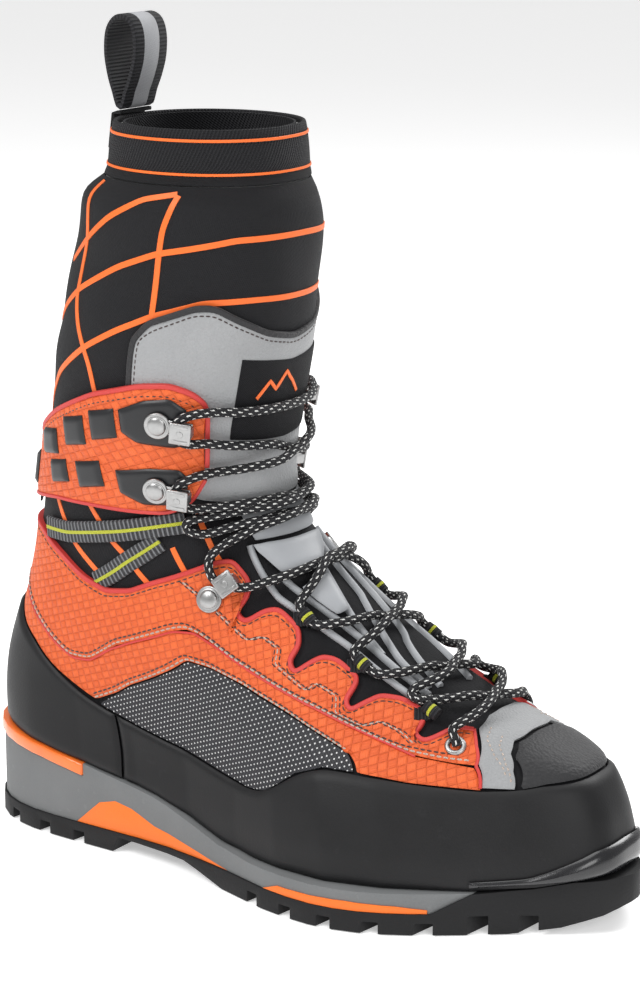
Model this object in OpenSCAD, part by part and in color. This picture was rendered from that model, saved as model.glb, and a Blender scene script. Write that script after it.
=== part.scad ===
// Insulated mountaineering boot, right foot, with an integrated gaiter.
// The toe points to +X, the lateral side faces -Y, and the outsole rests on Z = 0.
// The upper is one lasted surface: s(t, z, d) is the point at girth angle t (0 heel,
// 90 lateral, 180 front, 270 medial), at height z and d outside the last.

/* [Boot] */
// Length of the outsole from heel to toe
boot_length = 312; // [290:1:335]
// Width of the outsole across the ball of the foot
boot_width = 114; // [104:1:124]
// Height from the floor to the rim of the collar
boot_height = 315; // [290:1:340]

/* [Sole] */
// Thickness of the outsole at the heel, lugs included
outsole_thick = 9; // [7:0.5:11]
// Depth of the grooves between the lugs
lug_depth = 5; // [3:0.5:5.5]
// Width of the grooves between the lugs
lug_gap = 6; // [4:0.5:8]
// Height of the crampon ledge at the heel
welt_thick = 5.5; // [4:0.5:6.5]
// Thickness of the stiffening shank
shank_thick = 1.4; // [1:0.1:2]
// Thickness of the lasting board
board_thick = 2.4; // [1.8:0.1:3]
// Thickness of the footbed
footbed_thick = 4.2; // [3:0.1:5.5]

/* [Layers] */
// Clearance between two layers of the upper
layer_gap = 0.5; // [0.5:0.05:0.7]
// Thickness of the lining
lining_thick = 2; // [1.4:0.1:2.6]
// Thickness of the base fabric and of the gaiter
fabric_thick = 0.8; // [0.6:0.1:1]
// Thickness of the orange quarters, bands and mesh panels
panel_thick = 1.4; // [1:0.1:1.8]
// Thickness of the rubber rand
rand_thick = 2.4; // [1.8:0.1:3]
// Thickness of the ankle cuff
cuff_thick = 1.6; // [1.2:0.1:2]
// Thickness of the moulded tiles and hook bases on the cuff
tile_thick = 2; // [1.4:0.1:2.6]
// Thickness of the collar's knitted band
collar_thick = 2.2; // [1.6:0.1:2.8]

/* [Lacing] */
// Diameter of the lace
lace_dia = 4; // [3:0.1:4.2]
// Radius of the round foot of a lace hook
hook_foot_r = 5.6; // [5:0.1:6.4]
// Reach of a lace hook from its rivet to its bend
hook_reach = 15; // [14:0.5:16]
// Thickness of the hooks' sheet metal
hook_sheet = 1; // [0.8:0.1:1.2]
// Diameter of the rivets' shanks
rivet_dia = 3.2; // [2.6:0.1:4]
// Bore of the toe eyelets
eyelet_bore = 5; // [4.6:0.1:6]

/* [Pull loop] */
// Width of the pull loop's webbing
loop_width = 22; // [16:1:26]
// Height of the pull loop above its hinge
loop_rise = 38; // [30:1:44]
// Thickness of the pull loop's webbing
loop_thick = 1.8; // [1.4:0.1:2.2]

/* [Hidden] */

// The design sizes that the tables below are drawn at, and the scale to the driving ones
design_length = 312;
design_width = 114;
design_height = 315;
kx = boot_length / design_length;
ky = boot_width / design_width;
kz = boot_height / design_height;

// The last: height, back, front, lateral and medial half widths, shift of the front towards
// the medial side, and the roundness of the back and of the front
last_rows = [
  [14, -146, 148, 60, 47, 6, 0.80, 0.62],
  [30, -147, 147, 60, 48, 7, 0.80, 0.62],
  [45, -148, 143, 57, 47, 8, 0.80, 0.64],
  [57, -149.5, 137, 53, 46, 9, 0.80, 0.66],
  [65, -149.5, 128, 50, 44, 9, 0.80, 0.66],
  [71, -149, 108, 47, 42, 9, 0.80, 0.66],
  [80, -147, 87, 44, 40, 9, 0.80, 0.68],
  [92, -143, 62, 41, 38, 9, 0.80, 0.70],
  [106, -138, 38, 38, 36, 8, 0.80, 0.74],
  [121, -134, 18, 36, 35, 7, 0.80, 0.78],
  [136, -131, -2, 36, 36, 6, 0.82, 0.82],
  [152, -128, -13, 37, 37, 3, 0.84, 0.86],
  [170, -124, -15, 40, 40, 1, 0.86, 0.88],
  [190, -120, -13, 44, 44, 0, 0.88, 0.88],
  [220, -116, -8, 47, 47, 0, 0.88, 0.88],
  [250, -108, -3, 47, 47, 0, 0.88, 0.88],
  [275, -102, 0, 45, 45, 0, 0.88, 0.88],
  [286, -99.5, -1, 44, 44, 0, 0.88, 0.88],
  [292, -88.5, -7, 37, 38, 0, 0.88, 0.88],
  [315, -85.5, -9, 35.5, 37, 0, 0.88, 0.88]
];
// Fullness of the foot along its length, from the heel (0) to the toe (1)
lateral_fullness = [[0, 1], [0.1, 0.92], [0.2, 0.78], [0.3, 0.7], [0.4, 0.71], [0.5, 0.82],
  [0.58, 0.95], [0.66, 1.02], [0.74, 0.98], [0.82, 0.86], [0.9, 0.72], [1, 0.62]];
medial_fullness = [[0, 1.1], [0.1, 1.02], [0.2, 0.86], [0.3, 0.76], [0.4, 0.7], [0.5, 0.76],
  [0.6, 0.92], [0.7, 1.04], [0.8, 1.08], [0.9, 1.02], [1, 0.95]];

function col(tab, c) = [for (r = tab) [r[0], r[c]]];
last_cols = [for (c = [1:7]) col(last_rows, c)];
function lerp(a, b, k) = a + (b - a) * k;
function ease(k) = k <= 0 ? 0 : k >= 1 ? 1 : k * k * (3 - 2 * k);
function s0(t, z) =
  let (u = (1 - cos(t)) / 2, v = sin(t), k = ease((z - 40) / 70),
       xb = lookup(z, last_cols[0]), xf = lookup(z, last_cols[1]),
       w = lookup(z, last_cols[v > 0 ? 2 : 3]),
       full = lookup(u, v > 0 ? lateral_fullness : medial_fullness),
       h = pow(abs(v), lerp(lookup(z, last_cols[5]), lookup(z, last_cols[6]), u)) * lerp(full, 1, k),
       y = lookup(z, last_cols[4]) * u * u)
  [kx * lerp(xb, xf, u), ky * (v > 0 ? y - w * h : y + w * h), kz * z];
function normal(t, z) =
  let (c = cross(s0(t + 1.5, z) - s0(t - 1.5, z), s0(t, z + 1.5) - s0(t, z - 1.5))) c / norm(c);
function s(t, z, d = 0) = s0(t, z) + d * normal(t, z);

// Offsets of the layers outside the last
base_out = fabric_thick;
panel_in = base_out + layer_gap;
panel_out = panel_in + panel_thick;
rand_out = panel_in + rand_thick;
lining_out = -layer_gap;
lining_in = lining_out - lining_thick;
tongue_thick = 1.2;
tongue_out = panel_in + tongue_thick;
label_thick = 0.6;
cuff_in = tongue_out + layer_gap;
cuff_out = cuff_in + cuff_thick;
tile_in = cuff_out + 0.15;
tile_out = tile_in + tile_thick;
seam = 0.5;

// Closed skins: a grid of [t, z] columns between two offsets, as points and faces
function skin(g, d0, d1, closed = false) =
  let (n = len(g), m = len(g[0]), last = closed ? n - 1 : n - 2,
       p = concat([for (c = g) for (q = c) s(q[0], q[1], d0)], [for (c = g) for (q = c) s(q[0], q[1], d1)]),
       f = [for (i = [0:last]) let (a = i * m, b = ((i + 1) % n) * m, o = n * m)
              for (j = [0:m - 2])
                each [[a + j, b + j, b + j + 1], [a + j, b + j + 1, a + j + 1],
                      [o + a + j, o + a + j + 1, o + b + j + 1], [o + a + j, o + b + j + 1, o + b + j]]],
       e = [for (i = [0:last]) let (a = i * m, b = ((i + 1) % n) * m, o = n * m, h = m - 1)
              each [[a, o + a, o + b], [a, o + b, b],
                    [a + h, b + h, o + b + h], [a + h, o + b + h, o + a + h]]],
       w = closed ? [] : [for (j = [0:m - 2]) let (o = n * m, z = (n - 1) * m)
              each [[j, j + 1, o + j + 1], [j, o + j + 1, o + j],
                    [z + j, o + z + j + 1, z + j + 1], [z + j, o + z + j, o + z + j + 1]]])
  [p, concat(f, e, w)];
function total(v, n) = n <= 0 ? 0 : v[n - 1] + total(v, n - 1);
function join(parts) =
  let (sizes = [for (q = parts) len(q[0])])
  [[for (q = parts) each q[0]],
   [for (i = [0:len(parts) - 1]) let (o = total(sizes, i)) for (f = parts[i][1]) [for (k = f) k + o]]];
module draw(part) { polyhedron(part[0], part[1]); }

// A grid between two outlines of the same number of [t, z] points
function between(low, high, rows = 5, step = 9) =
  let (n = len(low),
       pairs = concat([for (k = [0:n - 2])
         let (c = max(1, ceil(max(abs(low[k + 1][0] - low[k][0]), abs(high[k + 1][0] - high[k][0])) / step)))
         for (i = [0:c - 1]) [lerp(low[k], low[k + 1], i / c), lerp(high[k], high[k + 1], i / c)]],
         [[low[n - 1], high[n - 1]]]))
  [for (q = pairs) [for (j = [0:rows]) lerp(q[0], q[1], j / rows)]];
// The same outline on the other side of the boot
function medial(l) = [for (i = [len(l) - 1:-1:0]) [360 - l[i][0], l[i][1]]];
// An outline of the lateral side, carried through the front or through the heel to the medial side
function through_front(l) = concat(l, [for (i = [len(l) - 2:-1:0]) [360 - l[i][0], l[i][1]]]);
function through_heel(l) = concat([for (i = [len(l) - 1:-1:1]) [-l[i][0], l[i][1]]], l);
function shift(l, dz) = [for (q = l) [q[0], q[1] + dz]];

// ---- Sole ----
// Height of the top of the sole along the boot
sole_rows = [[-155, 45], [-140, 43], [-112, 40], [-89, 36.5], [-71, 33.5], [-48, 29.5], [-23, 22.5],
  [-9, 18.7], [10, 17], [106, 17.5], [126, 19.5], [140, 22.5], [158, 24]];
function sole_top(x) = kz * lookup(x / kx, sole_rows);
function sole_z(t) =
  let (a = sole_top(s0(t, 25)[0]) / kz) sole_top(s0(t, a)[0]) / kz;
// Outline of the outsole, lateral side from heel to toe and back along the medial side
outline = [[-155, -2], [-150, -20], [-137, -33], [-118, -40], [-93, -42.5], [-72, -43.5], [-40, -46],
  [-5, -54], [20, -62], [45, -65.5], [66, -62], [85, -53], [103, -41], [119, -29], [137, -18],
  [150, -9], [157, 3], [155, 14], [147, 26], [130, 37], [108, 45], [80, 48.5], [50, 46], [20, 38],
  [-10, 32], [-50, 33], [-90, 37], [-118, 37], [-137, 30], [-150, 17]];
function spline(p, i, k) =
  let (n = len(p), a = p[(i + n - 1) % n], b = p[i], c = p[(i + 1) % n], d = p[(i + 2) % n])
  0.5 * (2 * b + (c - a) * k + (2 * a - 5 * b + 4 * c - d) * k * k + (3 * b - a - 3 * c + d) * k * k * k);
function inset(p, d) =
  [for (i = [0:len(p) - 1])
    let (v = p[(i + 1) % len(p)] - p[(i + len(p) - 1) % len(p)], u = v / norm(v)) p[i] + d * [-u[1], u[0]]];
footprint = [for (i = [0:len(outline) - 1]) for (k = [0, 0.5])
  let (q = spline(outline, i, k)) [kx * q[0], ky * q[1]]];
// Plan of the inside of the upper at the level of the sole's top
function plan(d) = [for (t = ring_t) let (q = s(t, sole_z(t), d)) [q[0], q[1]]];
stations = [for (r = sole_rows) r[0] * kx];

module upright(points, height = 80) { linear_extrude(height = height) polygon(points); }
module profile(points) { rotate([90, 0, 0]) linear_extrude(height = 200, center = true) polygon(points); }
// A slab that follows the top of the sole between two heights above it
module slab(lo, hi, xs = stations) {
  profile(concat([for (x = xs) [x, sole_top(x) + lo]],
                 [for (i = [len(xs) - 1:-1:0]) [xs[i], sole_top(xs[i]) + hi]]));
}

breast_x = -71;
arch_end_x = -6;
toe_joint_x = 92;
toe_top_x = 106;
welt_end_x = -88;
welt_width = 9;
plug_half = 16;
plug_depth = 8;
plug_drop = 12;
arch_points = [[-92, 0], [-79, 11.5], [-70, 14], [-61, 12.5], [-48, 7.5], [-20, 2.5], [-3, 0]];
strip_rows = [[20, 0.1], [28, 3.2], [60, 3.8], [80, 3], [91, 1.6], [91, 0.1]];
strip_depth = 3;
midsole_inset = 1;

module outsole_blank() {
  intersection() {
    upright(footprint, 40);
    profile([[-157 * kx, 3.5], [-147 * kx, 0], [breast_x * kx, 0], [(breast_x + 3) * kx, outsole_thick - 2],
      [-30 * kx, outsole_thick - 3], [arch_end_x * kx, 0], [118 * kx, 0], [136 * kx, 3], [150 * kx, 8],
      [159 * kx, 13], [159 * kx, sole_top(157 * kx)], [140 * kx, sole_top(140 * kx)],
      [126 * kx, sole_top(126 * kx)], [toe_top_x * kx, sole_top(toe_top_x * kx)],
      [toe_joint_x * kx, outsole_thick], [-157 * kx, outsole_thick]]);
  }
}
heel_grooves = [-134, -114, -94];
fore_grooves = [10, 29, 48, 67, 86, 104, 121];
groove_reach = 17;
module outsole() {
  color("#1c1c1e") difference() {
    outsole_blank();
    for (x = concat(heel_grooves, fore_grooves)) {
      edge_l = lookup(x, [for (i = [0:16]) [outline[i][0], -outline[i][1]]]);
      edge_m = lookup(x, [for (i = [29:-1:16]) [outline[i][0], outline[i][1]]]);
      translate([x * kx, -edge_l * ky - 4, -1]) rotate([0, 0, -8])
        cube([lug_gap, groove_reach + 4, lug_depth + 1 + (x > 100 ? 3 : 0)]);
      translate([x * kx + 4, edge_m * ky - groove_reach, -1]) rotate([0, 0, 8])
        cube([lug_gap, groove_reach + 6, lug_depth + 1 + (x > 100 ? 3 : 0)]);
    }
    for (x = [18:19:94]) translate([x * kx, -15, -1]) cube([lug_gap - 1, 26, lug_depth]);
    for (x = [-124, -104]) translate([x * kx, -11, -1]) cube([lug_gap - 1, 22, lug_depth]);
  }
}
module midsole() {
  color("#7f8184") difference() {
    intersection() {
      upright(inset(footprint, midsole_inset));
      profile(concat(
        [[-160 * kx, outsole_thick]],
        [for (q = arch_points) [q[0] * kx, outsole_thick + q[1]]],
        [[toe_joint_x * kx, outsole_thick], [toe_top_x * kx, sole_top(toe_top_x * kx)]],
        [for (i = [len(sole_rows) - 4:-1:0]) [sole_rows[i][0] * kx, sole_top(sole_rows[i][0] * kx)]],
        [[-160 * kx, sole_top(-155 * kx)]]));
    }
    welt_volume(0);
    plug_volume(0);
    strip_volume(0);
  }
}
module arch_insert() {
  color("#f07c1b") intersection() {
    upright(inset(footprint, midsole_inset));
    profile([for (q = arch_points) [q[0] * kx, outsole_thick + q[1]]]);
  }
}
module strip_volume(grow) {
  intersection() {
    difference() {
      upright(inset(footprint, grow == 0 ? -5 : midsole_inset - 0.4));
      translate([0, 0, -1]) upright(inset(footprint, strip_depth));
    }
    profile([for (q = strip_rows) [q[0] * kx, outsole_thick + q[1]]]);
  }
}
module forefoot_insert() { color("#f07c1b") strip_volume(1); }
module welt_volume(grow) {
  xs = [-162, -140, -112, welt_end_x];
  intersection() {
    difference() {
      upright(inset(footprint, grow == 0 ? -5 : 0));
      translate([0, 0, -1]) upright(inset(footprint, welt_width));
    }
    slab(-welt_thick, grow == 0 ? 4 : 0, [for (x = xs) x * kx]);
  }
}
module heel_welt() { color("#f2822e") welt_volume(1); }
module plug_volume(grow) {
  intersection() {
    upright(inset(footprint, grow == 0 ? -5 : midsole_inset - 0.4));
    translate([-170 * kx, -plug_half, sole_top(-150 * kx) - welt_thick - plug_drop - 1.2])
      cube([(170 - 150) * kx + plug_depth / 2, 2 * plug_half, plug_drop]);
  }
}
module heel_plug() { color("#b9d86a") plug_volume(1); }
bumper_low = [[134, 19.8], [146, 21.6], [156, 22.9], [168, 24.4], [180, 24.8]];
bumper_high = [[134, 22], [146, 24], [156, 29], [168, 34], [180, 35.5]];
module toe_bumper() {
  color("#151515")
    draw(skin(between(through_front(bumper_low), through_front(bumper_high), 3, 6),
              rand_out + layer_gap, rand_out + layer_gap + 2.6));
}
module shank() {
  color("#3b3f45") intersection() {
    upright([[-122 * kx, -15], [-122 * kx, 13], [58 * kx, 12], [66 * kx, 0], [58 * kx, -18]]);
    slab(0, shank_thick);
  }
}
module insole_board() {
  color("#8d7a5c") intersection() {
    upright(plan(lining_in - 2 * layer_gap));
    slab(shank_thick, shank_thick + board_thick);
  }
}
module footbed() {
  color("#4a4d52") intersection() {
    upright(plan(lining_in - 3 * layer_gap));
    slab(shank_thick + board_thick, shank_thick + board_thick + footbed_thick);
  }
}

// ---- Foot ----
ring_t = [for (t = [0:9:351]) t];
// Top edge of the base fabric, where the ankle's stretch fabric takes over
foot_edge = [[0, 133], [24, 132], [38, 130], [54, 122], [64, 115], [74, 111], [84, 113], [94, 118],
  [110, 124], [125, 129], [140, 137], [152, 140], [180, 140]];
function edge_z(t, l) = let (a = t <= 180 ? t : 360 - t) lookup(a, l);
shaft_edge = [[0, 156], [120, 156], [150, 158], [180, 158]];
function ring_grid(low_l, high_l, rows) =
  [for (t = ring_t) [for (j = [0:rows]) [t, lerp(edge_z(t, low_l), edge_z(t, high_l), j / rows)]]];
function foot_grid(rows) =
  [for (t = ring_t) let (lo = sole_z(t) + seam, hi = edge_z(t, foot_edge))
    [for (j = [0:rows]) [t, lerp(lo, hi, pow(j / rows, 0.9))]]];
module foot_lining() { color("#c9c9c7") draw(skin(foot_grid(11), lining_in, lining_out, true)); }
module upper_base() { color("#161618") draw(skin(foot_grid(11), 0, base_out, true)); }

rand_edge = [[0, 100], [17, 98], [29, 90], [39, 84], [48, 75], [56, 66], [64, 60], [73, 55], [81, 51],
  [88, 47], [93, 45], [97, 46], [104, 56], [109, 60], [115, 59.5], [125, 57.5], [138, 56], [148, 57],
  [156, 58.5], [180, 59]];
function rand_columns(a, b, step, rows) =
  [for (t = [a:step:b]) let (lo = sole_z(t) + seam, hi = edge_z(t < 0 ? -t : t, rand_edge))
    [for (j = [0:rows]) [t, lerp(lo, hi, j / rows)]]];
heel_rand_t = 63;
module heel_rand() {
  color("#1b1b1c") draw(skin(rand_columns(-heel_rand_t, heel_rand_t, 7, 5), panel_in, rand_out));
}
module toe_rand() {
  color("#1b1b1c")
    draw(skin(rand_columns(heel_rand_t + 0.5, 360 - heel_rand_t - 0.5, 2 * (180 - heel_rand_t - 0.5) / 52, 4),
              panel_in, rand_out));
}
cap_low = [[150, 57.6], [158, 59.1], [168, 59.5], [180, 59.5]];
cap_high = [[150, 58.6], [157, 67], [167, 70.5], [180, 71.5]];
module toe_cap() {
  color("#202022")
    draw(skin(between(through_front(cap_low), through_front(cap_high), 5, 5), panel_in, rand_out));
}
vamp_low = [[150.6, 60.4], [156.4, 67.8], [166.5, 71.2], [180, 72.2]];
vamp_high = [[148.6, 61.6], [152.4, 66.4], [160, 75.2], [180, 78.5]];
module vamp_band() {
  color("#b4b6b8")
    draw(skin(between(through_front(vamp_low), through_front(vamp_high), 3, 5), panel_in, panel_out));
}
mesh_low = [[60, 63.8], [66, 59.4], [73, 55.6], [81, 51.6], [88, 47.6], [93, 45.6], [97, 46.6], [104, 56.6],
  [110, 60.6], [115.6, 60.2]];
mesh_high = [[60.5, 64.8], [66, 70], [72, 75.4], [80, 81], [87, 86], [94, 91.4], [100, 90], [106, 85],
  [112, 76.5], [117, 66]];
module mesh_panel_lateral() {
  color("#4b4c50") draw(skin(between(mesh_low, mesh_high, 5, 7), panel_in, panel_out - 0.4));
}
module mesh_panel_medial() {
  color("#4b4c50") draw(skin(between(medial(mesh_low), medial(mesh_high), 5, 7), panel_in, panel_out - 0.4));
}
side_low = [[0.5, 100.6], [17, 98.6], [29, 90.6], [39, 84.6], [48, 75.6], [59, 65.6], [66, 70.6], [72, 76],
  [80, 81.6], [87, 86.6], [94, 92], [100, 90.6], [106.6, 85.6], [112.6, 77], [117.6, 66], [116.4, 60.2],
  [125, 58], [139, 56.6]];
side_high = [[0.5, 111.4], [18, 107.8], [30, 100.4], [42, 92.4], [50, 85.6], [56, 81.6], [62, 82.4],
  [70, 89.4], [78, 94.4], [86, 98.4], [94, 102.4], [101, 103], [106, 98], [111, 90.4], [117, 83], [122, 76.8],
  [130.5, 66], [147, 60.8]];
module side_band_lateral() {
  color("#e8702a") draw(skin(between(side_low, side_high, 3, 7), panel_in, panel_out));
}
module side_band_medial() {
  color("#e8702a") draw(skin(between(medial(side_low), medial(side_high), 3, 7), panel_in, panel_out));
}
quarter_high = [[0.5, 137], [24, 136], [38, 134], [54, 126], [64, 119], [74, 115], [84, 117], [94, 122],
  [110, 128], [125, 133], [133, 134], [133, 126], [127, 120], [119, 114], [120, 110], [130, 115], [136, 116],
  [138, 109], [133, 103], [125, 97], [123, 92], [130, 96], [137, 99], [141, 98], [142, 92], [136, 88],
  [130, 84], [128, 80], [134, 83], [142, 86], [148, 85], [150, 81], [144, 77], [138, 74], [137, 71],
  [146, 74], [153, 76], [158, 75]];
quarter_low = [[0.5, 112], [18, 108.4], [30, 101], [42, 93], [55, 82.4], [62, 83], [73, 92.4], [84, 98],
  [94, 103], [99, 104.5], [102, 103.4], [104, 101.5], [106, 98.8], [107, 97], [108, 95.5], [109, 94],
  [110, 92.5], [111.5, 91], [113, 89], [114, 87.5], [115, 86], [116, 85], [117, 83.6], [118, 82.4],
  [119.5, 80.6], [121, 79], [122, 77.6], [123, 76.2], [124, 74.8], [125, 73.4], [126, 72], [127.5, 70],
  [129, 68.4], [130.5, 67], [132, 66.4], [135, 65.4], [139, 64], [147, 61.6]];
module quarter_lateral() {
  color("#ee7430") draw(skin(between(quarter_low, quarter_high, 6, 9), panel_in + 0.2, panel_out));
}
module quarter_medial() {
  color("#ee7430")
    draw(skin(between(medial(quarter_low), medial(quarter_high), 6, 9), panel_in + 0.2, panel_out));
}
guard_low = [[160, 86], [170, 88], [180, 88.5]];
guard_high = [[147, 139], [163, 140.5], [180, 141]];
guard_thick = 2;
guard_out = panel_in + guard_thick;
module tongue_guard() {
  color("#c3c6c9")
    draw(skin(between(through_front(guard_low), through_front(guard_high), 10, 6), panel_in + 0.3, guard_out));
}

// ---- Ankle ----
module ankle_gaiter() {
  color("#1a1a1d")
    draw(skin(ring_grid(shift(foot_edge, seam), shift(shaft_edge, -seam), 3), 0, base_out, true));
}
module ankle_lining() {
  color("#c9c9c7")
    draw(skin(ring_grid(shift(foot_edge, seam), shift(shaft_edge, -seam), 3), lining_in, lining_out, true));
}
strap_low = [[45, 133], [60, 133.5], [90, 139], [110, 143.5], [126, 146.5]];
strap_high = [[42, 140], [60, 141.5], [90, 147.5], [110, 152], [126, 155]];
diagonal_low = [[73, 116.5], [90, 126.5], [110, 140]];
diagonal_high = [[66, 119.5], [83, 131.5], [101, 141]];
module ankle_straps() {
  color("#2c2d31") draw(join([for (l = [[strap_low, strap_high], [diagonal_low, diagonal_high]])
    each [skin(between(l[0], l[1], 2, 9), panel_in, panel_in + 1),
          skin(between(medial(l[0]), medial(l[1]), 2, 9), panel_in, panel_in + 1)]]));
}
flex_low = [[150, 141.6], [165, 142], [180, 142]];
flex_high = [[150, 157.4], [165, 157.8], [180, 157.8]];
module tongue_flex() {
  color("#c3c6c9")
    draw(skin(between(through_front(flex_low), through_front(flex_high), 4, 6), panel_in, tongue_out));
}

// ---- Shaft ----
shaft_levels = [170, 180, 190, 220, 250, 275, 286];
function shaft_grid(top, levels) =
  [for (t = ring_t) concat([[t, edge_z(t, shaft_edge)]], [for (z = levels) [t, z]], [[t, top]])];
module gaiter() { color("#1a1a1d") draw(skin(shaft_grid(291, shaft_levels), 0, base_out, true)); }
module shaft_lining() {
  color("#c9c9c7") draw(skin(shaft_grid(313, concat(shaft_levels, [292, 300])), lining_in, lining_out, true));
}
collar_levels = [291.8, 299, 308, 315];
module collar_band() {
  color("#1d1d20")
    draw(skin([for (t = ring_t) [for (z = collar_levels) [t, z]]], 0, collar_thick, true));
}
cuff_high = [[0, 173], [20, 175], [33, 181], [56, 193], [81, 204], [104, 210], [118, 211],
  [128, 208], [135.5, 203]];
cuff_low = [[0, 146], [16, 147], [30, 149], [56, 153], [78, 154], [102, 154], [116, 154.5],
  [128, 160], [135.5, 170]];
module cuff() {
  color("#ee7430")
    draw(skin(between(through_heel(cuff_low), through_heel(cuff_high), 5, 7), cuff_in, cuff_out));
}
// Centres and half sizes of the cuff's tiles: t, z, half of t, half of z, slant
tiles = [[70.5, 186, 6.5, 6, 3], [87.5, 192, 6.5, 6, 3], [49, 178, 6.5, 4.5, 3], [79, 168, 7, 5.5, 3],
  [58, 166, 6, 4.5, 3], [24, 160, 5, 9, -2]];
function tile_low(q) = [[q[0] - q[2] + q[4], q[1] - q[3]], [q[0] + q[2] + q[4], q[1] - q[3] + 1.5]];
function tile_high(q) = [[q[0] - q[2] - q[4], q[1] + q[3] - 1.5], [q[0] + q[2] - q[4], q[1] + q[3]]];
module cuff_tiles() {
  color("#2a2b2e") draw(join([for (q = tiles)
    each [skin(between(tile_low(q), tile_high(q), 2, 5), tile_in, tile_out),
          skin(between(medial(tile_low(q)), medial(tile_high(q)), 2, 5), tile_in, tile_out)]]));
}
upper_base_low = [[98.5, 190], [105, 186.5], [128, 187]];
upper_base_high = [[97, 199.5], [108, 203], [126.5, 202]];
lower_base_low = [[97, 162.5], [107, 158.5], [121, 160]];
lower_base_high = [[95.5, 172], [110, 174], [128, 173.5]];
module hook_bases() {
  color("#242528") draw(join([for (l = [[upper_base_low, upper_base_high], [lower_base_low, lower_base_high]])
    each [skin(between(l[0], l[1], 3, 5), tile_in, tile_out),
          skin(between(medial(l[0]), medial(l[1]), 3, 5), tile_in, tile_out)]]));
}
tongue_side = [[99, 205], [99, 229], [105, 236], [125, 243], [134, 243], [145, 238], [163, 231], [180, 228]];
tongue_base = [[124, 162], [126, 161.5], [129, 161], [133, 160], [140, 159.4], [148, 159],
  [164, 159], [180, 159]];
module tongue_top() {
  color("#a9abac")
    draw(skin(between(through_front(tongue_base), through_front(tongue_side), 7, 8), panel_in, tongue_out));
}
label_low = [[149, 186], [165, 185], [180, 184.5]];
label_high = [[151, 221], [165, 220], [180, 219]];
label_in = tongue_out + 0.2;
module tongue_label() {
  color("#141414") draw(skin(between(through_front(label_low), through_front(label_high), 5, 6),
    label_in, label_in + label_thick));
}

// ---- Lacing hardware ----
// Puts its children on the surface: X towards the lacing, Y up, Z outwards
module seat(t, z, d) {
  n = normal(t, z);
  translate(s(t, z, d)) rotate([0, acos(n[2]), atan2(n[1], n[0])]) rotate([0, 0, 90])
    mirror([t > 180 ? 1 : 0, 0, 0]) children();
}
module both_sides(t, z, d) {
  seat(t, z, d) children();
  seat(360 - t, z, d) children();
}
// Room left around the lace in a hook and in a lace loop
hook_play = 0.7;
loop_play = 0.7;
hook_height = lace_dia + 2 * (hook_sheet + hook_play);
hook_neck = 3;
hook_plate = 8.5;
hook_return = 8.5;
module hook() {
  difference() {
    union() {
      cylinder(r = hook_foot_r, h = hook_sheet, $fn = 48);
      translate([0, -hook_neck, 0]) cube([hook_reach, 2 * hook_neck, hook_sheet]);
      translate([hook_reach - hook_sheet, -hook_neck / 2, 0]) cube([hook_sheet, hook_neck, hook_height]);
      translate([hook_reach - hook_return, -hook_plate / 2, hook_height - hook_sheet])
        cube([hook_return, hook_plate, hook_sheet]);
    }
    translate([0, 0, -1]) cylinder(d = rivet_dia, h = hook_sheet + 2, $fn = 32);
  }
}
rivet_head_r = 4.2;
rivet_dome = 1.5;
module rivet() {
  rotate_extrude($fn = 48)
    polygon([[0, 0], [rivet_dia / 2, 0], [rivet_dia / 2, hook_sheet], [rivet_head_r, hook_sheet],
      [rivet_head_r, hook_sheet + 0.4], [rivet_head_r * 0.7, hook_sheet + rivet_dome * 0.85],
      [0, hook_sheet + rivet_dome]]);
}
instep_hook_at = [113, 118];
hook_tilt = 40;
lower_hook_at = [113.5, 166];
upper_hook_at = [115, 195];
instep_seat = panel_out + 0.15;
cuff_seat = tile_out + 0.15;
module instep_hooks() {
  color("#c9ccd0")
    both_sides(instep_hook_at[0], instep_hook_at[1], instep_seat) rotate([0, 0, hook_tilt]) hook();
}
module instep_rivets() {
  color("#dfe1e4") both_sides(instep_hook_at[0], instep_hook_at[1], instep_seat) rivet();
}
module cuff_hooks() {
  color("#c9ccd0") for (q = [lower_hook_at, upper_hook_at]) both_sides(q[0], q[1], cuff_seat) hook();
}
module cuff_rivets() {
  color("#dfe1e4") for (q = [lower_hook_at, upper_hook_at]) both_sides(q[0], q[1], cuff_seat) rivet();
}
eyelet_at = [144, 70];
eyelet_rim = 1.9;
module toe_eyelets() {
  color("#e6e7e9") both_sides(eyelet_at[0], eyelet_at[1], panel_out + 0.35)
    rotate_extrude($fn = 48) translate([eyelet_bore / 2, 0]) polygon([[0, 0], [eyelet_rim, 0],
      [eyelet_rim, 0.5], [eyelet_rim * 0.6, 1.1], [0.3, 1.1], [0, 0.8]]);
}

// ---- Lace ----
// Lace loops of the quarters: t, z
loop_at = [[146, 80], [142.5, 95.5], [139, 112]];
lace_r = lace_dia / 2;
loop_wall = 1.1;
loop_length = 7;
bead = panel_out + 0.3 + loop_wall + loop_play + lace_r;
module lace_loops() {
  r = lace_r + loop_play;
  color("#26272b") for (q = loop_at) for (t = [q[0] + 5, 360 - q[0] - 5]) {
    v = s(t, q[1] + 1, bead) - s(t, q[1] - 1, bead);
    translate(s(t, q[1], bead)) rotate([0, acos(v[2] / norm(v)), atan2(v[1], v[0])]) difference() {
      cylinder(r = r + loop_wall, h = loop_length, center = true, $fn = 40);
      cylinder(r = r, h = loop_length + 2, center = true, $fn = 40);
    }
  }
}
// The lace, as [t, z, height above the last], from a toe eyelet up to the top hook
low_run = guard_out + 0.5 + lace_r;
high_run = low_run + lace_dia + 0.6;
hook_run = hook_sheet + hook_play + lace_r;
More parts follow.
